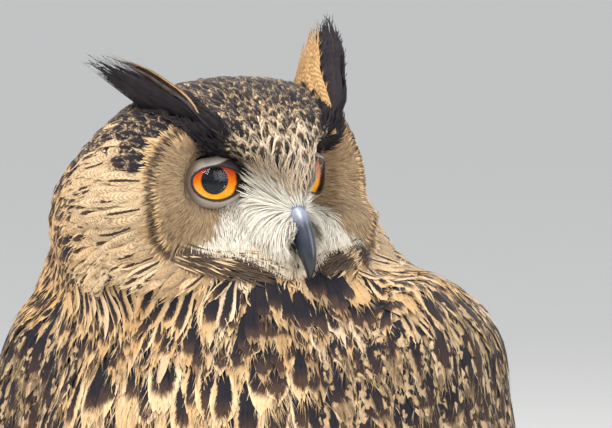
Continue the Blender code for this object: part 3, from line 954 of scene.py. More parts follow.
def tract_of(places, labels):
    """The name of the tract that each place belongs to."""
    head = to_head(places)
    x, y, z = np.abs(head[:, 0]), head[:, 1], head[:, 2]
    soft = wander(places, 4 * MM, 5) * 1.2 * MM
    x, z = x + soft, z + soft
    ring = disc_ring(x, z)
    front = y < -27 * MM
    white = front & (z < table(WHITE_TOP, x)) & (z > table(WHITE_LOW, x)) & (x < table(WHITE_SIDE, z))
    names = np.full(len(places), "side", dtype="U8")
    names[z + soft * 7 > 30 * MM - 0.22 * (y + 40 * MM)] = "crown"
    names[(y < -30 * MM) & (z > table(WHITE_TOP, x))] = "crown"
    names[(z < -34 * MM) & (y < 10 * MM)] = "ruff"
    names[front & (z <= table(WHITE_LOW, x)) & (ring > 1.0)] = "ruff"
    names[front & (ring < 1.04) & (z < 33 * MM) & (x > 10 * MM)] = "rim"
    names[front & (ring < 0.86) & (x > 14 * MM) & (z < 33 * MM)] = "disc"
    names[front & (x < 46 * MM) & (z > table(BROW_EDGE, x))] = "crown"
    names[white] = "lores"
    low = table(WHITE_LOW, x)
    chin = (z <= low) & (z > low - 11 * MM) & (x > 2.5 * MM) & (x < 56 * MM)
    names[chin & (y < -34 * MM)] = "chin"
    names[front & (brow_distance(x, z) < 1.0)] = "brow"
    for side in SIDES:
        across, up, ahead = eye_view(places, side)
        inner = across * -SIDES[side] > 0
        wide = np.where(inner, EYE_CLEAR[1], EYE_CLEAR[0])
        names[(np.hypot(across / wide, up / EYE_CLEAR[2]) < 1.0) & (ahead > 0)] = "bare"
    names[(x < 2.0 * MM - 0.08 * (z + 12 * MM)) & (y < -56 * MM) & (z < -11 * MM) & (z > -30 * MM)] = "bare"

    height = places[:, 2]
    body = belongs(labels, "trunk", "neck")
    neck = body & (height < HEAD_LINE + 2 * MM)
    names[neck] = "breast"
    names[neck & (height < BELLY_TOP)] = "belly"
    names[neck & (places[:, 1] > MANTLE_START)] = "mantle"
    ahead = (places[:, 1] < 20 * MM) & (height > NECK_LINE + 4 * MM)
    ahead &= height < HEAD_LINE + 16 * MM + soft * 4
    names[ahead & (y < 30 * MM)] = "bib"
    names[ahead & (y < 40 * MM) & (height > HEAD_LINE - 12 * MM)] = "collar"
    shoulder = body & (np.abs(places[:, 0]) + soft * 5 > 58 * MM) & (places[:, 1] <= MANTLE_START)
    names[shoulder & (height > SHOULDER_FOOT) & (height < HEAD_LINE - 2 * MM)] = "lesser"
    tail = belongs(labels, "tail")
    names[tail] = "under"
    names[tail & (height > TAIL_ROOT)] = "rump"
    names[body & (places[:, 1] > RUMP_START) & (height < RUMP_TOP)] = "rump"
    wing = belongs(labels, *WING_NODES)
    names[wing] = "under"
    for name, end in WING_TRACTS.items():
        names[wing & (wing_reach(places) < end)] = name
    names[belongs(labels, *LEG_NODES)] = "leg"
    names[belongs(labels, *FOOT_NODES)] = "foot"
    return names


def lie_of(tract, places):
    """The direction in which the feathers of a tract lie, before it is laid flat on the skin."""
    head = to_head(places)
    sign = np.where(head[:, 0] < 0, -1.0, 1.0)
    x, y, z = head.T
    if tract in ("disc", "rim"):
        way = rows_of(x - sign * EYE_APART, y + EYE_BEHIND, z - EYE_ABOVE)
    elif tract == "lores":
        out = unit(rows_of(np.abs(x), z - CERE_HEIGHT))
        angle = np.arccos(out[:, 1])
        down = np.radians(168 + 24 * ease(5 * MM, 14 * MM, np.abs(x)))
        angle += (down - angle) * ease(math.radians(38), math.radians(108), angle)
        way = rows_of(sign * np.sin(angle), 0.12, np.cos(angle))
    elif tract == "brow":
        way = rows_of(sign * 0.62, 0.35, 0.75)
    elif tract == "crown":
        top = ease(-58 * MM, -28 * MM, y)[:, None]
        back = rows_of(x * 3, 1, -0.1 - 9 * np.maximum(y, 0))
        way = unit(head - BROW_SOURCE) * (1 - top) + unit(back) * top
    elif tract == "side":
        drop = 0.15 + 1.5 * ease(-20 * MM, 70 * MM, y) + 16 * np.maximum(-z - 10 * MM, 0)
        way = rows_of(0.3 * sign, 1, -drop)
    elif tract == "chin":
        way = rows_of(-sign * ease(4 * MM, 20 * MM, np.abs(x)), -0.2, -0.42)
    elif tract == "ruff":
        chin = ease(26 * MM, 6 * MM, np.abs(x))
        way = unit(head - RUFF_SOURCE)
        way[:, 2] -= 0.5 + 0.6 * chin
        way[:, 1] += 0.3
    else:
        return body_lie(tract, places)
    return way @ HEAD_AXES


# Feathers of the body lie away from a point over the shoulders, and those of the wing back and down.
LIE_SOURCE = np.array([-0.006, -0.01, 0.60])
WING_LIE = np.array([0.0, 0.42, -1.0])


def body_lie(tract, places):
    x, _, z = places.T
    spread = places - LIE_SOURCE
    if tract in WING_TRACTS or tract == "under":
        high = ease(0.37, 0.43, z)[:, None]
        return unit(spread) * high + WING_LIE * (1 - high)
    if tract == "rump":
        return rows_of(x * 0.5, 0.3, -1)
    if tract == "leg":
        return rows_of(0 * x, -0.15, -1)
    if tract == "foot":
        feet = np.array([FEET["left"] if value > 0 else FEET["right"] for value in x])
        way = places - feet
        way[:, 2] = -2 * MM
        return way
    return spread


# ---------------------------------------------------------------- colours of the feathers


def shades():
    coat = bpy.context.scene.owl_coat
    names = ("buff", "gold", "cream", "white", "disc", "black", "brown", "tawny")
    return SimpleNamespace(**{name: np.array(getattr(coat, name)) for name in names})


def blend(first, second, share):
    """Between two colours, by a share for each place."""
    share = np.asarray(share)[:, None]
    return first * (1 - share) + second * share


class Spots:
    """Where a tract's feathers grow, in the head's frame too, and the draws that tell them apart."""

    def __init__(self, places, draw):
        self.places = places
        self.draw = draw
        head = to_head(places)
        self.x, self.y, self.z = np.abs(head[:, 0]), head[:, 1], head[:, 2]
        self.height = places[:, 2]
        self.chance = draw.random(len(places))
        self.drift = wander(places, 14 * MM, 8)

    def all_but(self, share):
        """True for all places but a small share, drawn anew."""
        return self.draw.random(len(self.places)) > share


def paint_disc(at, tone):
    """Grey-brown with darker hairs, whitish under the eye and brown towards the rim."""
    ground = blend(tone.disc, tone.cream, 0.30 * at.chance + 0.12 * at.drift) * 0.85
    ground = blend(ground, tone.brown, (at.chance < 0.2) * 0.4)
    below = ease(4 * MM, -16 * MM, at.z) * ease(30 * MM, 22 * MM, at.x)
    ground = blend(ground, tone.white, below * 0.6)
    edge = ease(0.78, 0.86, disc_ring(at.x, at.z)) * (at.chance < 0.7)
    return dict(ground=blend(ground, tone.brown, edge * 0.35))


def paint_rim(at, tone):
    """A broken black line on the outer side of the disc, and gold beyond it."""
    ring = disc_ring(at.x, at.z)
    band = ease(0.87, 0.91, ring) * ease(1.02, 0.97, ring) * ease(20 * MM, 38 * MM, at.x)
    band *= 0.6 + 0.4 * ease(-0.8, -0.3, wander(at.places, 6 * MM, 3))
    ground = blend(tone.gold, tone.cream, 0.6 * at.chance)
    return dict(ground=blend(ground, tone.black, band * (0.7 + 0.3 * at.chance)))


def paint_lores(at, tone):
    """White bristles, creamy at the foot, under a mottled peak that comes down between the eyes."""
    ground = blend(tone.white, tone.disc, (at.chance < 0.18) * 0.3)
    ground = blend(ground, tone.cream, ease(-16 * MM, -36 * MM, at.z) * 0.6)
    ground = blend(ground, tone.brown, (at.chance > 0.94) * 0.4)
    beside = at.x - 2 * MM - 0.8 * (at.z + 8 * MM)
    peak = ease(2 * MM, -2 * MM, beside) * ease(-9 * MM, -4 * MM, at.z)
    mottle = blend(tone.gold, tone.brown, ease(0.35, 0.70, at.chance) * 0.85)
    return dict(ground=blend(ground, mottle, peak * (0.78 + 0.22 * at.drift)))


def paint_brow(at, tone):
    return dict(ground=blend(tone.black, tone.brown, 0.25 * at.chance * (at.chance > 0.6)))


def paint_chin(at, tone):
    """Cream to gold, broken by wandering black bands."""
    band = wander(at.places, 4.5 * MM, 31) + 0.4 * (at.chance - 0.5)
    ground = blend(tone.cream, tone.gold, 0.3 + 0.5 * at.chance)
    ground = blend(ground, tone.brown, 0.25 * at.chance)
    dark = blend(tone.black, tone.brown, 0.5 * at.chance)
    return dict(ground=blend(ground, dark, ease(-0.25, 0.0, band) * 0.92))


def paint_crown(at, tone):
    """Broad black streaks, finer and paler above the bill, on gold that deepens to the nape."""
    top = ease(18 * MM, 62 * MM, at.z) * ease(-70 * MM, -30 * MM, at.y)
    low = ease(30 * MM, 6 * MM, at.z) * ease(-40 * MM, -55 * MM, at.y)
    nape = ease(-5 * MM, 60 * MM, at.y)
    ground = blend(tone.gold, tone.cream, 0.35 + 0.3 * at.chance)
    ground = blend(ground, tone.white, low * 0.35)
    width = 1.05 + 0.5 * top * (1 - nape) + 0.4 * (at.chance - 0.5) - 0.5 * low - 0.35 * nape
    return dict(
        ground=blend(ground, tone.gold, 0.6 * nape),
        width=width,
        bars=0.75 - 0.3 * low,
        notches=0.55,
        lines=0.125,
        browning=0.25 + low * 0.5,
    )


def paint_side(at, tone):
    """Gold with thin streaks that grow bolder to the back of the head."""
    near = ease(60 * MM, 5 * MM, at.y + 40 * MM)
    ground = blend(tone.gold, tone.buff, 0.4 + 0.4 * at.drift)
    streaked = (at.chance > 0.10 + 0.54 * near).astype(float)
    width = streaked * (0.58 + 0.25 * ease(-30 * MM, 40 * MM, at.y)) * (1 - 0.5 * near)
    high = ease(0.0, 30 * MM, at.z) * ease(-10 * MM, 30 * MM, at.y)
    return dict(
        ground=blend(ground, tone.cream, near * 0.55),
        mark=blend(tone.black, tone.brown, 0.35 * near),
        width=width + 0.2 * high,
        bars=0.20 + 0.30 * near,
        lines=0.24,
    )


def paint_ruff(at, tone):
    """Gold and cream with white patches, and a narrow streak on half of the feathers."""
    ground = blend(tone.gold, tone.cream, 0.35 + 0.35 * at.drift + 0.2 * at.chance)
    ground = blend(ground, tone.brown, 0.35 * (at.chance < 0.3))
    pale = ease(0.5, 0.9, wander(at.places, 7 * MM, 21)) * 0.6 * (at.chance > 0.35)
    return dict(
        ground=blend(ground, tone.white, pale),
        mark=blend(tone.black, tone.brown, 0.4 * (at.chance < 0.75)),
        width=(at.chance > 0.5) * (0.34 + 0.35 * (at.chance > 0.82)) * (1 - pale),
        bars=0.3,
        lines=0.2,
    )


def paint_collar(at, tone):
    """Buff with bold black centres, and whitish here and there."""
    pale = ease(0.2, 0.8, wander(at.places, 8 * MM, 27)) * (at.chance > 0.3)
    ground = blend(tone.buff, tone.gold, 0.5 + 0.4 * at.drift)
    ground = blend(ground, tone.white, pale * 0.32)
    width = at.all_but(0.06) * (0.86 + 0.36 * at.chance) * (1 - 0.5 * pale)
    outer = ease(28 * MM, 45 * MM, at.x) * ease(HEAD_LINE - 8 * MM, HEAD_LINE + 12 * MM, at.height)
    return dict(
        ground=ground * (0.84 + 0.1 * at.chance[:, None]),
        width=width * (1 - 0.6 * outer),
        bars=0.10,
        lines=0.25,
        browning=0.6,
    )


def paint_breast(at, tone, bolder=0.0):
    """Buff with black drops lengthwise, which thin out into fine bars on the belly."""
    ground = blend(tone.buff, tone.gold, 0.35 + 0.3 * at.drift)
    ground = blend(ground, tone.cream, 0.4 * at.chance)
    pale = ease(0.3, 0.9, wander(at.places, 9 * MM, 44)) * 0.12
    low = ease(0.30, 0.16, at.height)
    width = 0.60 + bolder + 0.4 * (at.chance - 0.5)
    return dict(
        ground=blend(ground, tone.white, pale * at.chance),
        width=width * (1 - 0.5 * low) * at.all_but(0.07),
        bars=0.5 * low,
        lines=0.38,
        browning=0.65,
    )


def paint_bib(at, tone):
    return paint_breast(at, tone, bolder=0.08)


def paint_under(at, tone):
    mark = tone.black * 0.4 + tone.brown * 0.6
    ground = blend(tone.tawny, tone.buff, 0.4 * at.chance)
    return dict(ground=ground, mark=mark, width=0.12, bars=0.8, lines=0.16)


def paint_mantle(at, tone):
    """Black-brown centres with notched buff edges, more barred and tawny to the tail."""
    down = ease(0.40, 0.24, at.height)
    ground = blend(tone.buff, tone.cream, 0.35 * at.chance)
    ground = blend(ground, tone.tawny, 0.25 + 0.4 * down)
    return dict(
        ground=ground * (0.82 + 0.1 * at.chance[:, None]),
        mark=blend(tone.black, tone.brown, 0.3 * down + 0.2 * (at.chance > 0.7)),
        width=1.28 + 0.3 * (at.chance - 0.5) - 0.3 * down,
        bars=0.25 + 0.35 * down,
        notches=0.9,
        lines=0.16,
        browning=0.3,
    )


def paint_leg(at, tone):
    ground = blend(tone.buff, tone.cream, 0.25 + 0.5 * at.chance)
    return dict(ground=ground, width=(at.chance > 0.75) * 0.2, bars=0.3, lines=0.12)


PAINTS = {
    "disc": paint_disc,
    "rim": paint_rim,
    "lores": paint_lores,
    "brow": paint_brow,
    "chin": paint_chin,
    "crown": paint_crown,
    "side": paint_side,
    "ruff": paint_ruff,
    "collar": paint_collar,
    "bib": paint_bib,
    "under": paint_under,
}
PAINTS |= dict.fromkeys(("breast", "belly"), paint_breast)
PAINTS |= dict.fromkeys(("leg", "foot"), paint_leg)
PAINTS |= dict.fromkeys(("mantle", "rump", *WING_TRACTS), paint_mantle)

# What the parts of a pattern are where a tract's paint doesn't say.
PATTERN = {"bars": 0.0, "notches": 0.0, "lines": 0.3, "browning": 0.7}


def spread_paint(paint, count):
    """Ground, mark, width and pattern in rows, one for each feather; a value may be the same for all."""
    full = np.ones((count, 1))
    pattern = [full[:, 0] * paint.get(name, usual) for name, usual in PATTERN.items()]
    width = full[:, 0] * paint.get("width", 0.0)
    return full * paint["ground"], full * paint["mark"], width, np.stack(pattern, axis=1)


def paint_of(tract, places, draw):
    """Ground colours, mark colours, streak widths and patterns of a tract's feathers."""
    tone = shades()
    return spread_paint({"mark": tone.black} | PAINTS[tract](Spots(places, draw), tone), len(places))


def paint_skin(mesh, labels):
    """The colours of the feathers above, but bare skin round the bill, lightened as a painted highlight,
    and black in the eyes' hollows.
    """
    points = coordinates(mesh)
    names = tract_of(points, labels)
    draw = draws(0)
    tone = shades()
    ground = np.ones((len(points), 4))
    mark = np.zeros((len(points), 4))
    ground[:, :3] = tone.cream
    for tract in TRACTS:
        chosen = names == tract
        if chosen.any():
            colours = paint_of(tract, points[chosen], draw)
            ground[chosen, :3], mark[chosen, :3], mark[chosen, 3] = colours[:3]
    # Painted light: under the white bristles the down is brighter than white, offsetting its painted shade
    # there.
    ground[names == "lores", :3] = tone.white * 1.15
    x, y, z = to_head(points).T
    # The bare skin at the bill's root takes the cere's colour, partly a painted highlight of the ridge's
    # gloss.
    root = (np.abs(x) < 5.5 * MM) & (y < -56 * MM) & (z < -6 * MM) & (z > -32 * MM)
    ground[root, :3] = np.array(bpy.context.scene.owl_horn.cere_and_highlight) * 0.8
    for centre in EYE_CENTRES.values():
        near = np.linalg.norm(points - np.array(centre), axis=1) < EYE_HOLLOW
        ground[near & (names == "bare"), :3] = tone.black
    add_paint(mesh, "Ground", ground)
    add_paint(mesh, "Mark", mark)


# ---------------------------------------------------------------- feathers

# The least height over the floor; how far, in cells, a feather's patch may lie from its root's place, and
# how much wider than a patch a cell is; where a vane is broadest; how much narrower down's streaks are.
FLOOR_GAP = 0.2 * MM
CELL_REACH = 60
CELL_SPACING = 1.1
BROADEST = 0.6
DOWN_STREAKS = 0.3


class Cells:
    """Places for the feathers' patches in the OFBake map, each near its root on an unwrap."""

    def __init__(self, size):
        self.size = size * MM
        self.count = int(1 / (self.size * CELL_SPACING))
        self.taken = set()
        reach = range(-CELL_REACH, CELL_REACH + 1)
        self.steps = sorted(((i, j) for i in reach for j in reach), key=lambda s: s[0] ** 2 + s[1] ** 2)

    def place(self, wanted):
        """The corner of a free cell near each wanted point of the unit square."""
        corners = np.empty_like(wanted)
        spots = np.clip((wanted * self.count).astype(int), 0, self.count - 1).tolist()
        for index, (column, row) in enumerate(spots):
            for i, j in self.steps:
                spot = (column + i, row + j)
                if 0 <= spot[0] < self.count and 0 <= spot[1] < self.count and spot not in self.taken:
                    break
            self.taken.add(spot)
            corners[index] = spot
        return (corners + 0.04) / self.count


def unwrap(places):
    """Angle round the upright middle line and height, stretched to fill the unit square."""
    middle = places.mean(axis=0)
    turn = np.arctan2(places[:, 0] - middle[0], middle[1] - places[:, 1])
    flat = rows_of(turn, places[:, 2])
    low, high = flat.min(axis=0), flat.max(axis=0)
    return 0.01 + 0.98 * (flat - low) / (high - low)


class Coat:
    """Feathers of one piece, gathered as grids and made into one mesh."""

    def __init__(self, name, patch):
        self.name = name
        self.cells = Cells(patch)
        self.grids = []

    def add(self, roots, points, vane, ground, mark, pattern):
        """Grids of points (feather, row, column) with their place on the vane and their paint."""
        self.grids.append((roots, points, vane, ground, mark, pattern))

    def build(self):
        corners = self.cells.place(unwrap(np.concatenate([grid[0] for grid in self.grids])))
        place, uvs, bake, faces = [], [], [], []
        paints = {"Ground": [], "Mark": [], "Pattern": []}
        start, first = 0, 0
        for roots, points, vane, *colours in self.grids:
            count, rows, columns = points.shape[:3]
            repeat = count // len(roots)
            corner = np.repeat(corners[first : first + len(roots)], repeat, axis=0)
            first += len(roots)
            place.append(points.reshape(-1, 3))
            uvs.append(vane.reshape(-1, 2))
            bake.append((corner[:, None, None] + vane * self.cells.size).reshape(-1, 2))
            for name, values in zip(paints, colours):
                paints[name].append(np.repeat(np.repeat(values, repeat, axis=0), rows * columns, axis=0))
            faces.append(grid_faces(count, rows, columns) + start)
            start += count * rows * columns
        place = np.concatenate(place)
        place[:, 2] = np.maximum(place[:, 2], FLOOR_GAP)
        mesh = bpy.data.meshes.new(self.name)
        fill_mesh(mesh, place, np.concatenate(faces))
        for name, flat in (("Vane", uvs), ("OFBake", bake)):
            add_map(mesh, name, np.concatenate(flat))
        for name, values in paints.items():
            add_paint(mesh, name, np.concatenate(values))
        return place_object(self.name, mesh)


def grid_faces(count, rows, columns):
    """Corner numbers of the four-sided faces of count grids, one after the other."""
    one = np.array(
        [
            (r * columns + c, r * columns + c + 1, (r + 1) * columns + c + 1, (r + 1) * columns + c)
            for r in range(rows - 1)
            for c in range(columns - 1)
        ]
    )
    return (one[None] + np.arange(count)[:, None, None] * rows * columns).reshape(-1, 4)


def fill_mesh(mesh, points, faces):
    mesh.vertices.add(len(points))
    write(mesh.vertices, "co", points)
    mesh.loops.add(faces.size)
    write(mesh.loops, "vertex_index", faces, np.int32)
    mesh.polygons.add(len(faces))
    write(mesh.polygons, "loop_start", np.arange(len(faces)) * 4, np.int32)
    mesh.update(calc_edges=True)
    mesh.shade_smooth()


def add_map(mesh, name, values):
    """A UV map from a place for each vertex."""
    corners = read(mesh.loops, "vertex_index")[:, 0]
    write(mesh.uv_layers.new(name=name).data, "uv", values[corners])


def march(skin, tract, roots, normals, lengths, size, draw):
    """Paths from the roots along the lie of the coat, kept on the skin."""
    way = along_surface(lie_of(tract, roots), normals)
    side = np.cross(normals, way)
    way = unit(way + side * draw.normal(0, size.stray, len(roots))[:, None])
    places, ups, ways = [roots], [normals], [way]
    place, up = roots, normals
    step = (lengths / (size.rows - 1))[:, None]
    for _ in range(size.rows - 1):
        place, up = skin.nearest(place + way * step)
        fresh = along_surface(lie_of(tract, place), up)
        way = along_surface(way * 0.8 + fresh * 0.2, up)
        places.append(place)
        ups.append(up)
        ways.append(way)
    return [np.stack(part, axis=1) for part in (places, ups, ways)]


def vane_outline(shares):
    """Half width of a contour feather along its length, as a share of the broadest."""
    near = 0.50 + 0.50 * ease(0.0, BROADEST, shares)
    far = np.sqrt(np.clip(1 - ((shares - BROADEST) / (1.03 - BROADEST)) ** 2, 0.0, 1.0))
    return np.where(shares < BROADEST, near, np.maximum(far, 0.06))


def bristle_outline(shares):
    return np.interp(shares, (0.0, 0.3, 0.8, 1.0), (0.8, 1.0, 0.7, 0.12))


def flight_outline(shares):
    return np.interp(shares, (0.0, 0.15, 0.5, 0.85, 0.96, 1.0), (0.55, 0.9, 1.0, 0.92, 0.6, 0.2))


def tuft_outline(shares):
    return np.interp(shares, (0.0, 0.3, 0.6, 0.85, 1.0), (0.8, 1.0, 0.95, 0.7, 0.2))


def feather_grids(path, size, halves, lifts, draw, outline):
    """Points of vanes along their paths: arched across, lifted to the tip, ragged at the end."""
    places, ups, ways = path
    count, rows = places.shape[:2]
    v = np.linspace(0, 1, rows)
    u = np.linspace(-1, 1, size.columns)
    side = np.cross(ways, ups)
    half = halves[:, None] * outline(v)[None]
    rise = -0.6 * MM + (lifts[:, None] + 0.6 * MM) * (v[None] ** 0.8)
    roll = draw.normal(0, 0.10, count)
    across = u[None, None] * half[:, :, None]
    height = rise[:, :, None] + across * roll[:, None, None]
    height = height + size.arch * half[:, :, None] * (0.5 - u[None, None] ** 2)
    points = places[:, :, None] + side[:, :, None] * across[..., None] + ups[:, :, None] * height[..., None]
    if size.fray:
        length = np.linalg.norm(places[:, -1] - places[:, 0], axis=1)
        ragged = draw.normal(0, size.fray, (count, size.columns)) * length[:, None]
        points[:, -1] += ways[:, -1][:, None] * ragged[..., None]
        points[:, -2] += ways[:, -2][:, None] * ragged[..., None] * 0.4
    vane = np.empty((count, rows, size.columns, 2))
    vane[..., 0] = (u[None, None] + 1) / 2
    vane[..., 1] = v[None, :, None]
    return points, vane, side


def loose_barbs(path, points, side, each, halves, draw):
    """Thin strips that run on from the outer part of each vane, fanned out from its shaft."""
    _, ups, ways = path
    count, rows, columns = points.shape[:3]
    row = draw.integers(rows // 2, rows, (count, each))
    column = draw.integers(0, columns, (count, each))
    one = np.arange(count)[:, None]
    start = points[one, row, column]
    u = column / (columns - 1) * 2 - 1
    fan = u * 0.34 + draw.normal(0, 0.12, (count, each))
    lift = draw.normal(0.03, 0.07, (count, each, 1))
    way = unit(ways[one, row] + side[one, row] * fan[..., None] + ups[one, row] * lift)
    reach = halves[:, None] * draw.uniform(0.5, 1.4, (count, each))
    half = 0.10 * MM + halves[:, None] * 0.006 + 0 * reach
    flat = unit(np.cross(way, ups[one, row]))
    share = np.array([-0.5, 0.35, 1.0])
    thin = np.array([1.0, 0.7, 0.1])
    sag = np.array([-0.25, 0.0, -0.35])
    line = start[..., None, :] + way[..., None, :] * (reach[..., None] * share)[..., None]
    line = line + ups[one, row][..., None, :] * (0.12 * reach[..., None] * sag + 0.1 * MM)[..., None]
    spread = flat[..., None, :] * (half[..., None] * thin)[..., None]
    grid = np.stack([line - spread, line + spread], axis=3)
    vane = np.empty((count, each, 3, 2, 2))
    centre = np.clip((u + 1) / 2, 0.06, 0.94)
    vane[..., 0, 0] = centre[..., None] - 0.05
    vane[..., 1, 0] = centre[..., None] + 0.05
    along = np.clip(row / (rows - 1), 0.0, 0.86)[..., None] + np.array([-0.06, 0.04, 0.13])
    vane[..., 1] = along[..., None]
    return grid.reshape(count * each, 3, 2, 3), vane.reshape(count * each, 3, 2, 2)


def dress(coat, path, size, halves, lifts, paint, draw, outline):
    """Vanes and loose barbs along the paths, painted, added to a coat."""
    points, vane, side = feather_grids(path, size, halves, lifts, draw, outline)
    ground, mark, width, pattern = paint
    roots = path[0][:, 0]
    ground = np.column_stack([ground, draw.random(len(roots))])
    mark = np.column_stack([mark, width])
    coat.add(roots, points, vane, ground, mark, pattern)
    if size.barbs:
        grid, barb_vane = loose_barbs(path, points, side, size.barbs, halves, draw)
        coat.add(roots, grid, barb_vane, ground, mark, pattern)


def cover(coat, skin, tract, faces, draw):
    """Feathers of one tract over the chosen faces of the skin, with down under the larger ones."""
    if not faces.any():
        raise RuntimeError("no skin for the tract " + tract)
    if tract in UNDERCOATS:
        plant(coat, skin, tract, UNDERCOATS[tract], faces, draw)
    plant(coat, skin, tract, TRACTS[tract], faces, draw)


def crest_of(tract, roots):
    """How much more the bristles and feathers stand up between the eyes."""
    x, y, z = to_head(roots).T
    over_bill = np.abs(x) + np.maximum(z + 8 * MM, 0)
    middle = ease(14 * MM, 9 * MM, np.abs(x)) * ease(2 * MM, 6 * MM, over_bill)
    if tract == "lores":
        return 6.5 * MM * middle * ease(-27 * MM, -14 * MM, z) * ease(18 * MM, 4 * MM, z)
    if tract == "crown":
        return 3.0 * MM * middle * ease(34 * MM, 18 * MM, z) * (y < -40 * MM)
    return 0 * x


def beside_eyes(tract, roots):
    """A share of the length that keeps the bristles of the lores off the eyes and the chin."""
    if tract != "lores":
        return 1.0
    across, _, height = to_head(roots).T
    across = np.abs(across)
    above = height - table(WHITE_LOW, across)
    near = np.minimum(*(np.linalg.norm(roots - np.array(eye), axis=1) for eye in EYE_CENTRES.values()))
    share = 0.45 + 0.55 * ease(0, 9 * MM, above)
    return share * (1 - 0.72 * ease(5 * MM, 12 * MM, across) * ease(29 * MM, 20 * MM, near))


def plant(coat, skin, tract, size, faces, draw):
    roots, normals = skin.spread(faces, size.apart * MM, draw)
    count = len(roots)
    lengths = size.length * MM * draw.uniform(0.82, 1.15, count)
    halves = size.half * MM * draw.uniform(0.85, 1.12, count)
    crest = crest_of(tract, roots)
    lengths += crest * 0.7
    lengths *= beside_eyes(tract, roots)
    lifts = size.lift * MM * draw.uniform(0.8, 1.2, count) + crest
    path = march(skin, tract, roots, normals, lengths, size, draw)
    outline = vane_outline if size.columns > 2 else bristle_outline
    ground, mark, width, pattern = paint_of(tract, roots, draw)
    if size in (DOWN, FLUFF):
        width = width * DOWN_STREAKS
    dress(coat, path, size, halves, lifts, (ground, mark, width, pattern), draw, outline)


# ---------------------------------------------------------------- long feathers

# Numbers of feathers on each side, in each layer of a tuft and in the tail; and their sizes, of which the
# spacing and the length, and a tuft's half width, are set where each feather is laid.
PRIMARIES, SECONDARIES, TAIL_FEATHERS, TUFT_FEATHERS = 9, 12, 12, 16
PRIMARY = Size(0, 0, 10.5, 2.2, 14, 7, 10, 0.12, 0.012)
SECONDARY_HALF = 14.5
TAIL = Size(0, 0, 10.5, 1.2, 12, 7, 12, 0.10, 0.012)
TUFT = Size(0, 0, 0, 1.4, 10, 5, 150, 0.3, 0.10)
LONG_PATCH = 30.0
ROUTE_STEPS = 24
TUFT_STATIONS = 9

# The wing's lower edge: degrees round the body from the breast line, and heights in mm.
WING_EDGE = ((51, 60, 77, 98, 122, 145, 158, 168), (262, 214, 166, 128, 94, 68, 57, 54))

# Looking for the skin: how far back the upright line lies that the angles turn round, where a look starts
# outside, and how it is raised when it passes under the skin.
BODY_AXIS = -10 * MM
OUTSIDE = 0.3
RAISE_STEP = 3 * MM
MOST_RAISE = 0.2

# The tail's middle line, back and up in metres; its half spread at the root and at the tip.
TAIL_MIDDLE = ((0.0805, 0.196), (0.0950, 0.150), (0.1110, 0.098), (0.1260, 0.055), (0.1400, 0.014))
TAIL_SPREAD = (26 * MM, 40 * MM)
TAIL_BACK = np.array([0.0, 0.95, 0.3])

# How far forwards the buff feathers of each ear tuft reach, from -1 at its back edge to 1 at its front.
TUFT_BUFF = {"left": 0.45, "right": 0.95}


def resample(line, count):
    """A polyline as evenly spaced points."""
    length = np.concatenate([[0], np.cumsum(np.linalg.norm(np.diff(line, axis=0), axis=1))])
    at = np.linspace(0, length[-1], count)
    return np.stack([np.interp(at, length, line[:, axis]) for axis in range(3)], axis=1)


def path_from(places, ups):
    """A path of rows of places and surface normals, with the way it runs."""
    ways = unit(np.gradient(places, axis=1))
    ups = ups - ways * (ups * ways).sum(axis=-1, keepdims=True)
    return places, unit(ups), ways


def skin_at(skin, angles, heights, sign):
    """Places and normals on the outside of the skin at angles from the breast line, round one side."""
    places, normals = [], []
    for angle, height in zip(angles, heights):
        out = np.array([sign * math.sin(angle), -math.cos(angle), 0.0])
        hit, raised = None, height
        while hit is None and raised < height + MOST_RAISE:
            start = np.array([0.0, BODY_AXIS, raised]) + out * OUTSIDE
            hit, _, index, _ = skin.tree.ray_cast(start.tolist(), (-out).tolist())
            raised += RAISE_STEP
        places.append(np.array(hit) - np.array([0.0, 0.0, raised - RAISE_STEP - height]))
        normals.append(skin.blend(np.array([index]), np.array([tuple(hit)]))[0])
    return np.array(places), np.array(normals)


def wing_paths(skin, sign):
    """Primaries along the wing's lower edge, then secondaries over them, as paths on the skin."""
    routes = []
    for k in range(PRIMARIES):
        share = k / (PRIMARIES - 1)
        angles = np.linspace(72 + 16 * share, 166 - 15 * share, ROUTE_STEPS)
        heights = np.interp(angles, *WING_EDGE) + 6 + 46 * share * (1 - 0.45 * (angles - 72) / 94)
        routes.append((angles, heights, 0.2 * MM))
    for k in range(SECONDARIES):
        share = k / (SECONDARIES - 1)
        angles = np.linspace(66 + 76 * share, 124 + 42 * share, ROUTE_STEPS)
        heights = np.linspace(222 + 78 * share, 112 + 66 * share, ROUTE_STEPS)
        heights = np.maximum(heights, np.interp(angles, *WING_EDGE) + 14)
        routes.append((angles, heights, 1.6 * MM))
    places, ups = [], []
    for angles, heights, off in routes:
        spots, normals = skin_at(skin, np.radians(angles), heights * MM, sign)
        places.append(resample(spots + normals * off, PRIMARY.rows))
        picked = np.linspace(0, ROUTE_STEPS - 1, PRIMARY.rows).round().astype(int)
        ups.append(normals[picked])
    return path_from(np.array(places), np.array(ups))


def make_flight(skin, side):
    tone = shades()
    draw = draws(40 + SIDES[side])
    path = wing_paths(skin, SIDES[side])
    count = len(path[0])
    halves = np.where(np.arange(count) < PRIMARIES, PRIMARY.half, SECONDARY_HALF) * MM
    paint = dict(ground=tone.tawny, mark=tone.brown * 0.55, bars=0.9, lines=0.21, browning=0.3)
    coat = Coat("flight_feathers_" + side, LONG_PATCH)
    lifts = np.full(count, PRIMARY.lift * MM)
    dress(coat, path, PRIMARY, halves, lifts, spread_paint(paint, count), draw, flight_outline)
    wear(coat.build(), "feathers", "dark_plumage")


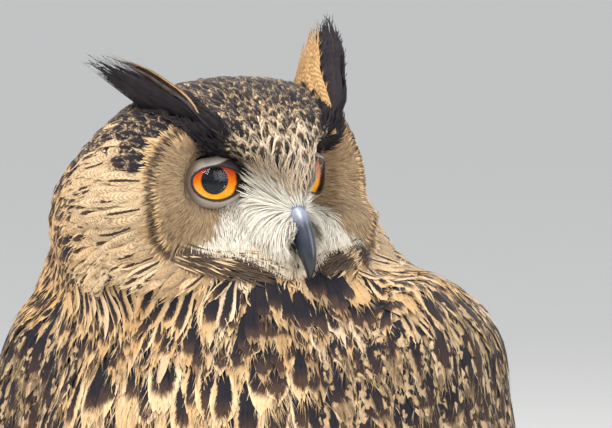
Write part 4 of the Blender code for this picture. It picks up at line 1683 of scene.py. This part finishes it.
def make_tail():
    """Twelve feathers seen from behind, the middle pair on top, and the same again from below."""
    tone = shades()
    draw = draws(60)
    coat = Coat("tail_feathers", LONG_PATCH)
    middle = np.array([(0.0, y, z) for y, z in TAIL_MIDDLE])
    for face in (1.0, -1.0):
        places = []
        for k in range(TAIL_FEATHERS):
            s = (k - (TAIL_FEATHERS - 1) / 2) / ((TAIL_FEATHERS - 1) / 2)
            line = resample(middle, TAIL.rows)
            share = np.linspace(0, 1, TAIL.rows)
            line[:, 0] = s * (TAIL_SPREAD[0] + (TAIL_SPREAD[1] - TAIL_SPREAD[0]) * share)
            thick = (7.2 - 2.4 * s * s - 3.2 * share) * MM
            line += TAIL_BACK * (face * thick)[:, None]
            line[:, 2] += 9 * MM * s * s * share
            places.append(line)
        places = np.array(places)
        ups = np.zeros_like(places) + TAIL_BACK * face
        ups[:, :, 0] += np.linspace(-0.35, 0.35, TAIL_FEATHERS)[:, None]
        bars = 0.9 - 0.2 * (face < 0)
        paint = dict(ground=tone.tawny, mark=tone.brown * 0.6, bars=bars, lines=0.19, browning=0.3)
        path = path_from(places, ups)
        halves, lifts = (np.full(TAIL_FEATHERS, size * MM) for size in (TAIL.half, TAIL.lift))
        dress(coat, path, TAIL, halves, lifts, spread_paint(paint, TAIL_FEATHERS), draw, flight_outline)
    wear(coat.build(), "feathers", "dark_plumage")


def tuft_shape(side):
    """An ear tuft's middle line, its half widths and depths, its way forwards and its way to the crown."""
    points = coordinates(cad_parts["ear_tuft_" + side].data)
    middle = points.mean(axis=0)
    along, wide, _ = np.linalg.svd(points - middle, full_matrices=False)[2]
    if (middle - HEAD_ORIGIN) @ along < 0:
        along = -along
    if wide @ np.array(HEAD_BACK) > 0:
        wide = -wide
    thin = np.cross(along, wide)
    if thin @ np.array(HEAD_ACROSS) * SIDES[side] > 0:
        thin = -thin
    reach = (points - middle) @ along
    low, high = reach.min(), reach.max()
    stations = np.linspace(low, high, TUFT_STATIONS)
    step = stations[1] - stations[0]
    line, half, deep = [], [], []
    for at in stations:
        near = points[np.abs(reach - at) <= step * 0.75]
        line.append(near.mean(axis=0))
        half.append(np.ptp(near @ wide) / 2)
        deep.append(np.ptp(near @ thin) / 2)
    return np.array(line), np.array(half), np.array(deep), wide, thin


def make_ear_tuft(side):
    """Long narrow feathers in three layers, black, with buff ones at the back of the layer by the crown."""
    tone = shades()
    draw = draws(80 + SIDES[side])
    line, half, deep, wide, thin = tuft_shape(side)
    stations = np.linspace(0, 1, len(line))
    places, ups, grounds, halves = [], [], [], []
    for layer in (-1.0, 0.0, 1.0):
        for k in range(TUFT_FEATHERS):
            s = (k - (TUFT_FEATHERS - 1) / 2) / ((TUFT_FEATHERS - 1) / 2) + draw.normal(0, 0.05)
            start = draw.uniform(-0.34, -0.12)
            buff = layer > 0 and s < draw.normal(TUFT_BUFF[side], 0.12)
            end = (draw.uniform(0.50, 0.70) if buff else draw.uniform(0.67, 0.81)) - 0.06 * s * s
            at = np.linspace(start, end, TUFT.rows)
            spots = np.stack([np.interp(at, stations, line[:, axis]) for axis in range(3)], axis=1)
            spots += np.minimum(at, 0.0)[:, None] * (line[1] - line[0]) * (len(line) - 1)
            sprout = 0.25 + 0.75 * ease(-0.25, 0.22, at)
            across = np.maximum(np.interp(at, stations, half), 0.5 * half.max()) * 0.82 * s * sprout
            depth = np.maximum(np.interp(at, stations, deep), 0.35 * deep.max()) * (1 - 0.6 * s * s)
            depth = depth * (0.95 + 0.35 * layer) * layer * sprout
            if buff:
                depth += 1.8 * MM * np.sin(np.pi * np.clip(at / 0.8, 0.0, 1.0))
            places.append(spots + wide * across[:, None] + thin * depth[:, None])
            ups.append(np.repeat((thin * (layer or 0.5) + wide * s * 0.5)[None], TUFT.rows, axis=0))
            share = draw.uniform(0.0, 0.2)
            dark = tone.black * (1 - share) + tone.brown * share
            grounds.append(tone.gold * (1.1 - share) if buff else dark)
            halves.append(draw.uniform(2.6, 3.8) * MM)
    path = path_from(np.array(places), np.array(ups))
    count = len(places)
    paint = dict(ground=np.array(grounds), mark=tone.black, bars=0.5, lines=0.5, browning=0.3)
    coat = Coat("ear_feathers_" + side, LONG_PATCH)
    lifts = np.full(count, TUFT.lift * MM)
    dress(coat, path, TUFT, np.array(halves), lifts, spread_paint(paint, count), draw, tuft_outline)
    wear(coat.build(), "feathers", "dark_plumage", "ear_tuft_" + side)


# ---------------------------------------------------------------- eyes, bill and claws

# Side view in the head's frame: y and z of the middle line, and the radius there.
UPPER_BILL = (
    (-60.0 * MM, -10.0 * MM, 4.5 * MM),
    (-69.8 * MM, -13.0 * MM, 6.6 * MM),
    (-72.9 * MM, -20.0 * MM, 7.2 * MM),
    (-76.6 * MM, -28.0 * MM, 6.4 * MM),
    (-79.2 * MM, -35.5 * MM, 4.6 * MM),
    (-79.8 * MM, -41.5 * MM, 2.5 * MM),
    (-79.0 * MM, -46.0 * MM, 0.4 * MM),
)
LOWER_BILL = (
    (-44 * MM, -32 * MM, 5.4 * MM),
    (-56 * MM, -34 * MM, 4.8 * MM),
    (-64 * MM, -36.5 * MM, 3.6 * MM),
    (-70 * MM, -39 * MM, 1.7 * MM),
    (-71.5 * MM, -40 * MM, 0.5 * MM),
)
BILL_NARROWNESS = 0.68
BILL_STEPS = 22
HORN_SIDES = 24

# Toes: direction from straight ahead towards the outer side, length; then the claw's own sizes.
TOES = {
    "inner": (math.radians(-27), 48 * MM),
    "middle": (math.radians(8), 56 * MM),
    "outer": (math.radians(52), 46 * MM),
    "hind": (math.radians(197), 34 * MM),
}
TOE_END = 8.2 * MM
CLAW_REACH = 28 * MM
CLAW_DROP = 7.5 * MM
CLAW_RADIUS = 4.8 * MM
CLAW_STEPS = 12
CLAW_ROOT = 1.5 * MM
CLAW_NARROWNESS = 0.8
FOOT_AHEAD = Vector((0.050, -0.022392, 0.0))

# Lids in the eye's own plane, in mm: half width, heights over and under the middle of the opening, then
# for each ring how far it lies outside the opening and how far it stands off the globe.
LID_HALF = 12.7
LID_UP = 7.5
LID_DOWN = 9.8
LID_RINGS = ((-0.4, -0.6), (0.0, 0.35), (0.6, 0.9), (1.3, 1.0), (2.3, 0.8), (3.3, 0.2), (4.8, -1.8))
LID_CORNER = 4.6
LID_SIDES = 72
IRIS_BOWL = ((0, 4, 6.9, 7.5, 11.4, 12.3), (0.5, 0.2, -0.6, -0.8, -0.6, 0))


def head_place(x, y, z):
    return Vector(HEAD_ORIGIN + np.array([x, y, z]) @ HEAD_AXES)


def gaze(side):
    """Where an eye looks, across it and up, in world directions."""
    turn = SIDES[side] * EYE_OUTWARDS
    forward = Vector(np.array([math.sin(turn), -math.cos(turn), 0.0]) @ HEAD_AXES)
    up = Vector((0.0, 0.0, 1.0))
    return forward, up.cross(forward), up


def eye_matrix(side):
    """Turns +Z to where the eye looks and +Y up, and moves the origin to its centre."""
    forward, across, up = gaze(side)
    turn = Matrix((across, up, forward)).transposed().to_4x4()
    return Matrix.Translation(EYE_CENTRES[side]) @ turn


def ball(name, radius):
    start_fresh()
    bpy.ops.mesh.primitive_uv_sphere_add(segments=64, ring_count=48, radius=radius)
    return take_name(active(), name)


def make_eye(side):
    """A globe whose iris lies flat round the pupil, mapped straight from the front."""
    eyes = bpy.context.scene.owl_eyes
    flat = EYE_RADIUS - eyes.cornea
    thing = ball("eye_globe_" + side, EYE_RADIUS)
    mesh = thing.data
    points = coordinates(mesh) * (flat / EYE_RADIUS)
    away = np.hypot(points[:, 0], points[:, 1])
    rim = math.sqrt(flat**2 - eyes.iris**2)
    bowl = (points[:, 2] > 0) & (away < eyes.iris)
    points[bowl, 2] = rim + table(IRIS_BOWL, away[bowl])
    write(mesh.vertices, "co", points)
    add_map(mesh, "Iris", points[:, :2] / (2 * EYE_RADIUS) + 0.5)
    mesh.shade_smooth()
    settle(thing, eye_matrix(side))
    wear(thing, "iris", "eye", "eye_" + side)


def make_cornea(side):
    """The clear dome over the iris."""
    eyes = bpy.context.scene.owl_eyes
    flat = EYE_RADIUS - eyes.cornea
    thing = ball("cornea_" + side, flat)
    edge = math.sqrt(flat**2 - (eyes.iris + 0.3 * MM) ** 2)
    with editing():
        bpy.ops.mesh.bisect(plane_co=(0, 0, edge), plane_no=(0, 0, -1), clear_outer=True, use_fill=True)
    mesh = thing.data
    points = coordinates(mesh)
    away = np.hypot(points[:, 0], points[:, 1])
    points[:, 2] += 0.12 * MM + eyes.cornea * ease(0.92 * flat, 0.30 * flat, away)
    write(mesh.vertices, "co", points)
    mesh.shade_smooth()
    settle(thing, eye_matrix(side))
    wear(thing, "cornea", "eye")


def opening(turn, out):
    """A point of the lids' almond opening, a distance outside it, in mm; the corner is at half a turn."""
    x, y = math.cos(turn), math.sin(turn)
    high = LID_UP if y > 0 else LID_DOWN
    corner = LID_CORNER * max(0.0, -x) ** 6
    return Vector(((LID_HALF + out) * x - corner, (high + out) * y - corner * 0.4))


def make_lids(side):
    """Rings extruded outwards from the edge of the opening, then bent over the globe."""
    start_fresh()
    bpy.ops.mesh.primitive_circle_add(vertices=LID_SIDES, radius=LID_HALF * MM)
    thing = take_name(active(), "lids_" + side)
    with editing():
        for _ in LID_RINGS[1:]:
            bpy.ops.mesh.extrude_region_move()
            bpy.ops.transform.resize(value=(1.05, 1.05, 1.05))
    mesh = thing.data
    flat = coordinates(mesh)
    angle = np.arctan2(flat[:, 1], flat[:, 0])
    order = np.argsort(np.argsort(np.hypot(flat[:, 0], flat[:, 1]).round(6), kind="stable"), kind="stable")
    ring = order // LID_SIDES
    places = np.empty_like(flat)
    for index, (turn, level) in enumerate(zip(angle, ring)):
        out, off = LID_RINGS[level]
        spot = opening(turn, out) * MM
        x = spot.x * SIDES[side]
        off *= 1 - 0.6 * max(0.0, math.cos(turn))
        z = float(lid_surface(math.hypot(x, spot.y), off * MM))
        places[index] = (x, spot.y, z)
    write(mesh.vertices, "co", places)
    share = ring / (len(LID_RINGS) - 1)
    rim = rows_of(np.cos(angle) / 2 + 0.5, np.sin(angle) / 2 + 0.5, share, share)
    add_paint(mesh, "Rim", rim)
    settle(thing, eye_matrix(side))
    outward_from(mesh, EYE_CENTRES[side])
    round_off(thing)
    wear(thing, "lid", "plumage")


def outward_from(mesh, centre):
    """Turns the faces so that they look away from a point."""
    towards = sum((face.center - centre).dot(face.normal) for face in mesh.polygons)
    if towards < 0:
        mesh.flip_normals()


def smooth_steps(rows, count):
    """More rows on a smooth curve through the given ones, evenly spread along the first two columns."""
    rows = np.array(rows)
    length = np.concatenate([[0], np.cumsum(np.linalg.norm(np.diff(rows[:, :2], axis=0), axis=1))])
    slopes = np.gradient(rows, length, axis=0)
    made = []
    for at in np.linspace(0, length[-1], count):
        i = min(int(np.searchsorted(length, at, side="right")) - 1, len(rows) - 2)
        step = length[i + 1] - length[i]
        t = (at - length[i]) / step
        made.append(
            rows[i] * (1 + 2 * t) * (1 - t) ** 2
            + rows[i + 1] * t * t * (3 - 2 * t)
            + slopes[i] * step * t * (1 - t) ** 2
            - slopes[i + 1] * step * t * t * (1 - t)
        )
    return made


def swept(name, centres, radii, across, narrowness):
    """A horn drawn out ring by ring from a disc: each ring is extruded, moved, turned and scaled."""
    start_fresh()
    bpy.ops.mesh.primitive_circle_add(vertices=HORN_SIDES, radius=1.0, fill_type="NGON")
    thing = take_name(active(), name)
    with editing():
        for _ in centres[1:]:
            bpy.ops.mesh.extrude_region_move(TRANSFORM_OT_translate={"value": (0.0, 0.0, 1.0)})
    mesh = thing.data
    raw = coordinates(mesh)
    level = raw[:, 2].round().astype(int)
    places = np.empty_like(raw)
    middle = np.array([tuple(centre) for centre in centres])
    ahead = unit(np.gradient(middle, axis=0))
    wide = np.array(across)
    for i, step in enumerate(level):
        over = np.cross(ahead[step], wide)
        x, y = raw[i, 0] * narrowness, raw[i, 1]
        places[i] = middle[step] + (wide * x + over * y) * radii[step]
    write(mesh.vertices, "co", places)
    turn = (np.arctan2(raw[:, 1], raw[:, 0]) / math.tau) % 1.0
    add_map(mesh, "Length", rows_of(turn, level / (len(centres) - 1)))
    mesh.update()
    with editing():
        bpy.ops.mesh.normals_make_consistent(inside=False)
    round_off(thing)
    return thing


def claw_path(side, toe):
    turn, length = TOES[toe]
    sign = SIDES[side]
    ahead = Vector((sign * math.sin(turn), -math.cos(turn), 0.0))
    foot = Vector((sign * FOOT_AHEAD.x, FOOT_AHEAD.y, 0.0))
    start = foot + ahead * (length - CLAW_ROOT) + Vector((0, 0, TOE_END))
    centres, radii = [], []
    for i in range(CLAW_STEPS + 1):
        share = i / CLAW_STEPS
        rise = 2.2 * MM * math.sin(math.pi * share) - CLAW_DROP * share**2
        out = ahead * (CLAW_REACH + CLAW_ROOT) * math.sin(share * math.pi / 2)
        centres.append(start + out + Vector((0, 0, rise)))
        radii.append(CLAW_RADIUS * (1 - share) ** 0.7 + 0.3 * MM)
    return centres, radii, ahead.cross(Vector((0, 0, 1)))


# ---------------------------------------------------------------- studio


# Each light's place from the chest, in metres towards the camera, to the right and up; its width and
# height, and its colour.
CHEST = Vector((0.0, -0.05, 0.42))
LIGHTS = {
    "key_light": ((1.3, -1.0, 1.5), (1.5, 1.1), (1.0, 0.985, 0.96)),
    "fill_light": ((1.2, 1.6, 0.6), (1.6, 1.6), (0.94, 0.97, 1.0)),
    "back_light": ((-1.4, 0.3, 1.6), (1.4, 1.4), (1.0, 1.0, 1.0)),
}
FLOOR_SIZE = 120.0
SKY_COLOUR = (0.93, 0.96, 1.0, 1.0)
FILM_WIDTH = 36.0


def add_area_light(name, place, size, power, colour):
    light = bpy.data.lights.new(name, "AREA")
    light.shape = "RECTANGLE"
    light.size, light.size_y = size
    light.energy = power
    light.color = colour
    thing = place_object(name, light)
    thing.location = place
    thing.rotation_euler = (CHEST - place).to_track_quat("-Z", "Y").to_euler()


def make_studio(studio):
    start_fresh()
    bpy.ops.mesh.primitive_plane_add(size=FLOOR_SIZE, location=(0.0, 0.0, 0.0))
    floor = take_name(active(), "floor")
    floor.data.materials.append(material("studio_floor"))
    scene = bpy.context.scene
    scene.view_settings.view_transform = "Standard"
    scene.world = bpy.data.worlds.new("studio")
    scene.world.use_nodes = True
    sky = scene.world.node_tree.nodes["Background"]
    sky.inputs["Color"].default_value = SKY_COLOUR
    sky.inputs["Strength"].default_value = studio.sky

    turn, tilt = studio.azimuth, studio.elevation
    right = Vector((math.cos(turn), math.sin(turn), 0.0))
    towards = Vector((math.sin(turn) * math.cos(tilt), -math.cos(turn) * math.cos(tilt), math.sin(tilt)))
    over = towards.cross(right)
    aim = Vector(HEAD_ORIGIN) + right * studio.aside - over * studio.below
    data = bpy.data.cameras.new("camera")
    camera = place_object("camera", data)
    camera.location = aim + towards * studio.distance
    camera.rotation_euler = towards.to_track_quat("Z", "Y").to_euler()
    data.sensor_width = FILM_WIDTH
    data.lens = FILM_WIDTH * studio.distance / studio.width
    scene.camera = camera

    for name, ((ahead, aside, up), size, colour) in LIGHTS.items():
        place = CHEST + towards * ahead + right * aside + Vector((0, 0, up))
        power = studio.key_power if name == "key_light" else studio.fill_power
        add_area_light(name, place, size, power, colour)


# ---------------------------------------------------------------- operators


class Store:
    """What one operator leaves for the next."""

    skin = None
    names = None


def stored_skin():
    if Store.skin is None:
        raise RuntimeError("make the skin first")
    return Store.skin, Store.names


class OWL_OT_skin(bpy.types.Operator):
    """Make the one skin under the coat"""

    bl_idname = "owl.skin"
    bl_label = "Skin"

    def execute(self, context):
        thing, labels = make_skin()
        Store.skin = Skin(thing.data, labels)
        Store.names = tract_of(Store.skin.centres, Store.skin.labels)
        paint_skin(thing.data, labels)
        wear(thing, "down", "plumage", *FLESH)
        return {"FINISHED"}


class OWL_OT_coat(bpy.types.Operator):
    """Cover the skin with the small feathers, tract by tract"""

    bl_idname = "owl.coat"
    bl_label = "Coat"

    def execute(self, context):
        skin, names = stored_skin()
        tail = belongs(skin.labels, "tail")
        for number, (piece, (tracts, patch)) in enumerate(PIECES.items(), 1):
            wing = "wing" in piece
            coat = Coat(piece, patch)
            draw = draws(100 * number)
            for tract in tracts:
                faces = names == tract
                if wing:
                    faces &= ~tail & (skin.centres[:, 0] * SIDES[piece.rpartition("_")[2]] > 0)
                elif tract == "under":
                    faces &= tail
                cover(coat, skin, tract, faces, draw)
            wear(coat.build(), "feathers", "dark_plumage" if wing else "plumage")
        return {"FINISHED"}


class OWL_OT_long_feathers(bpy.types.Operator):
    """Make the flight feathers, the tail and the ear tufts"""

    bl_idname = "owl.long_feathers"
    bl_label = "Long feathers"

    def execute(self, context):
        skin, _ = stored_skin()
        for side in SIDES:
            make_flight(skin, side)
            make_ear_tuft(side)
        make_tail()
        return {"FINISHED"}


class OWL_OT_eyes(bpy.types.Operator):
    """Make the eyes with their corneas and lids"""

    bl_idname = "owl.eyes"
    bl_label = "Eyes"

    def execute(self, context):
        for side in SIDES:
            make_eye(side)
            make_cornea(side)
            make_lids(side)
        return {"FINISHED"}


class OWL_OT_bill(bpy.types.Operator):
    """Make both halves of the bill"""

    bl_idname = "owl.bill"
    bl_label = "Bill"

    def execute(self, context):
        for name, shape in (("bill_upper", UPPER_BILL), ("bill_lower", LOWER_BILL)):
            steps = smooth_steps(shape, BILL_STEPS)
            centres = [head_place(0.0, y, z) for y, z, _ in steps]
            thing = swept(name + "_horn", centres, [r for *_, r in steps], HEAD_ACROSS, BILL_NARROWNESS)
            wear(thing, "bill_keratin", "horn", name)
        return {"FINISHED"}


class OWL_OT_claws(bpy.types.Operator):
    """Make the eight claws"""

    bl_idname = "owl.claws"
    bl_label = "Claws"

    def execute(self, context):
        for side in SIDES:
            for toe in TOES:
                name = f"claw_{side}_{toe}"
                centres, radii, across = claw_path(side, toe)
                thing = swept(name + "_horn", centres, radii, across, CLAW_NARROWNESS)
                wear(thing, "claw_keratin", "horn", name)
        return {"FINISHED"}


class OWL_OT_studio(bpy.types.Operator):
    """Set up the floor, the lights and the camera"""

    bl_idname = "owl.studio"
    bl_label = "Studio"

    def execute(self, context):
        make_studio(context.scene.owl_studio)
        return {"FINISHED"}


# ---------------------------------------------------------------- add-on


class OWL_PT_pieces(bpy.types.Panel):
    """Buttons that make the owl's pieces"""

    bl_idname = "OWL_PT_pieces"
    bl_label = "Eagle-owl"
    bl_space_type = "VIEW_3D"
    bl_region_type = "UI"
    bl_category = "Owl"

    def draw(self, context):
        for operator in OPERATORS:
            self.layout.operator(operator.bl_idname)


OPERATORS = (
    OWL_OT_skin,
    OWL_OT_coat,
    OWL_OT_long_feathers,
    OWL_OT_eyes,
    OWL_OT_bill,
    OWL_OT_claws,
    OWL_OT_studio,
)
CLASSES = (*GROUPS.values(), *OPERATORS, OWL_PT_pieces)


def register():
    for part in CLASSES:
        bpy.utils.register_class(part)
    for name, group in GROUPS.items():
        setattr(bpy.types.Scene, name, PointerProperty(type=group))


def unregister():
    for name in GROUPS:
        delattr(bpy.types.Scene, name)
    for part in reversed(CLASSES):
        bpy.utils.unregister_class(part)


def main():
    register()
    bpy.ops.owl.skin()
    bpy.ops.owl.coat()
    bpy.ops.owl.long_feathers()
    bpy.ops.owl.eyes()
    bpy.ops.owl.bill()
    bpy.ops.owl.claws()
    bpy.ops.owl.studio()


if __name__ == "__main__":
    main()
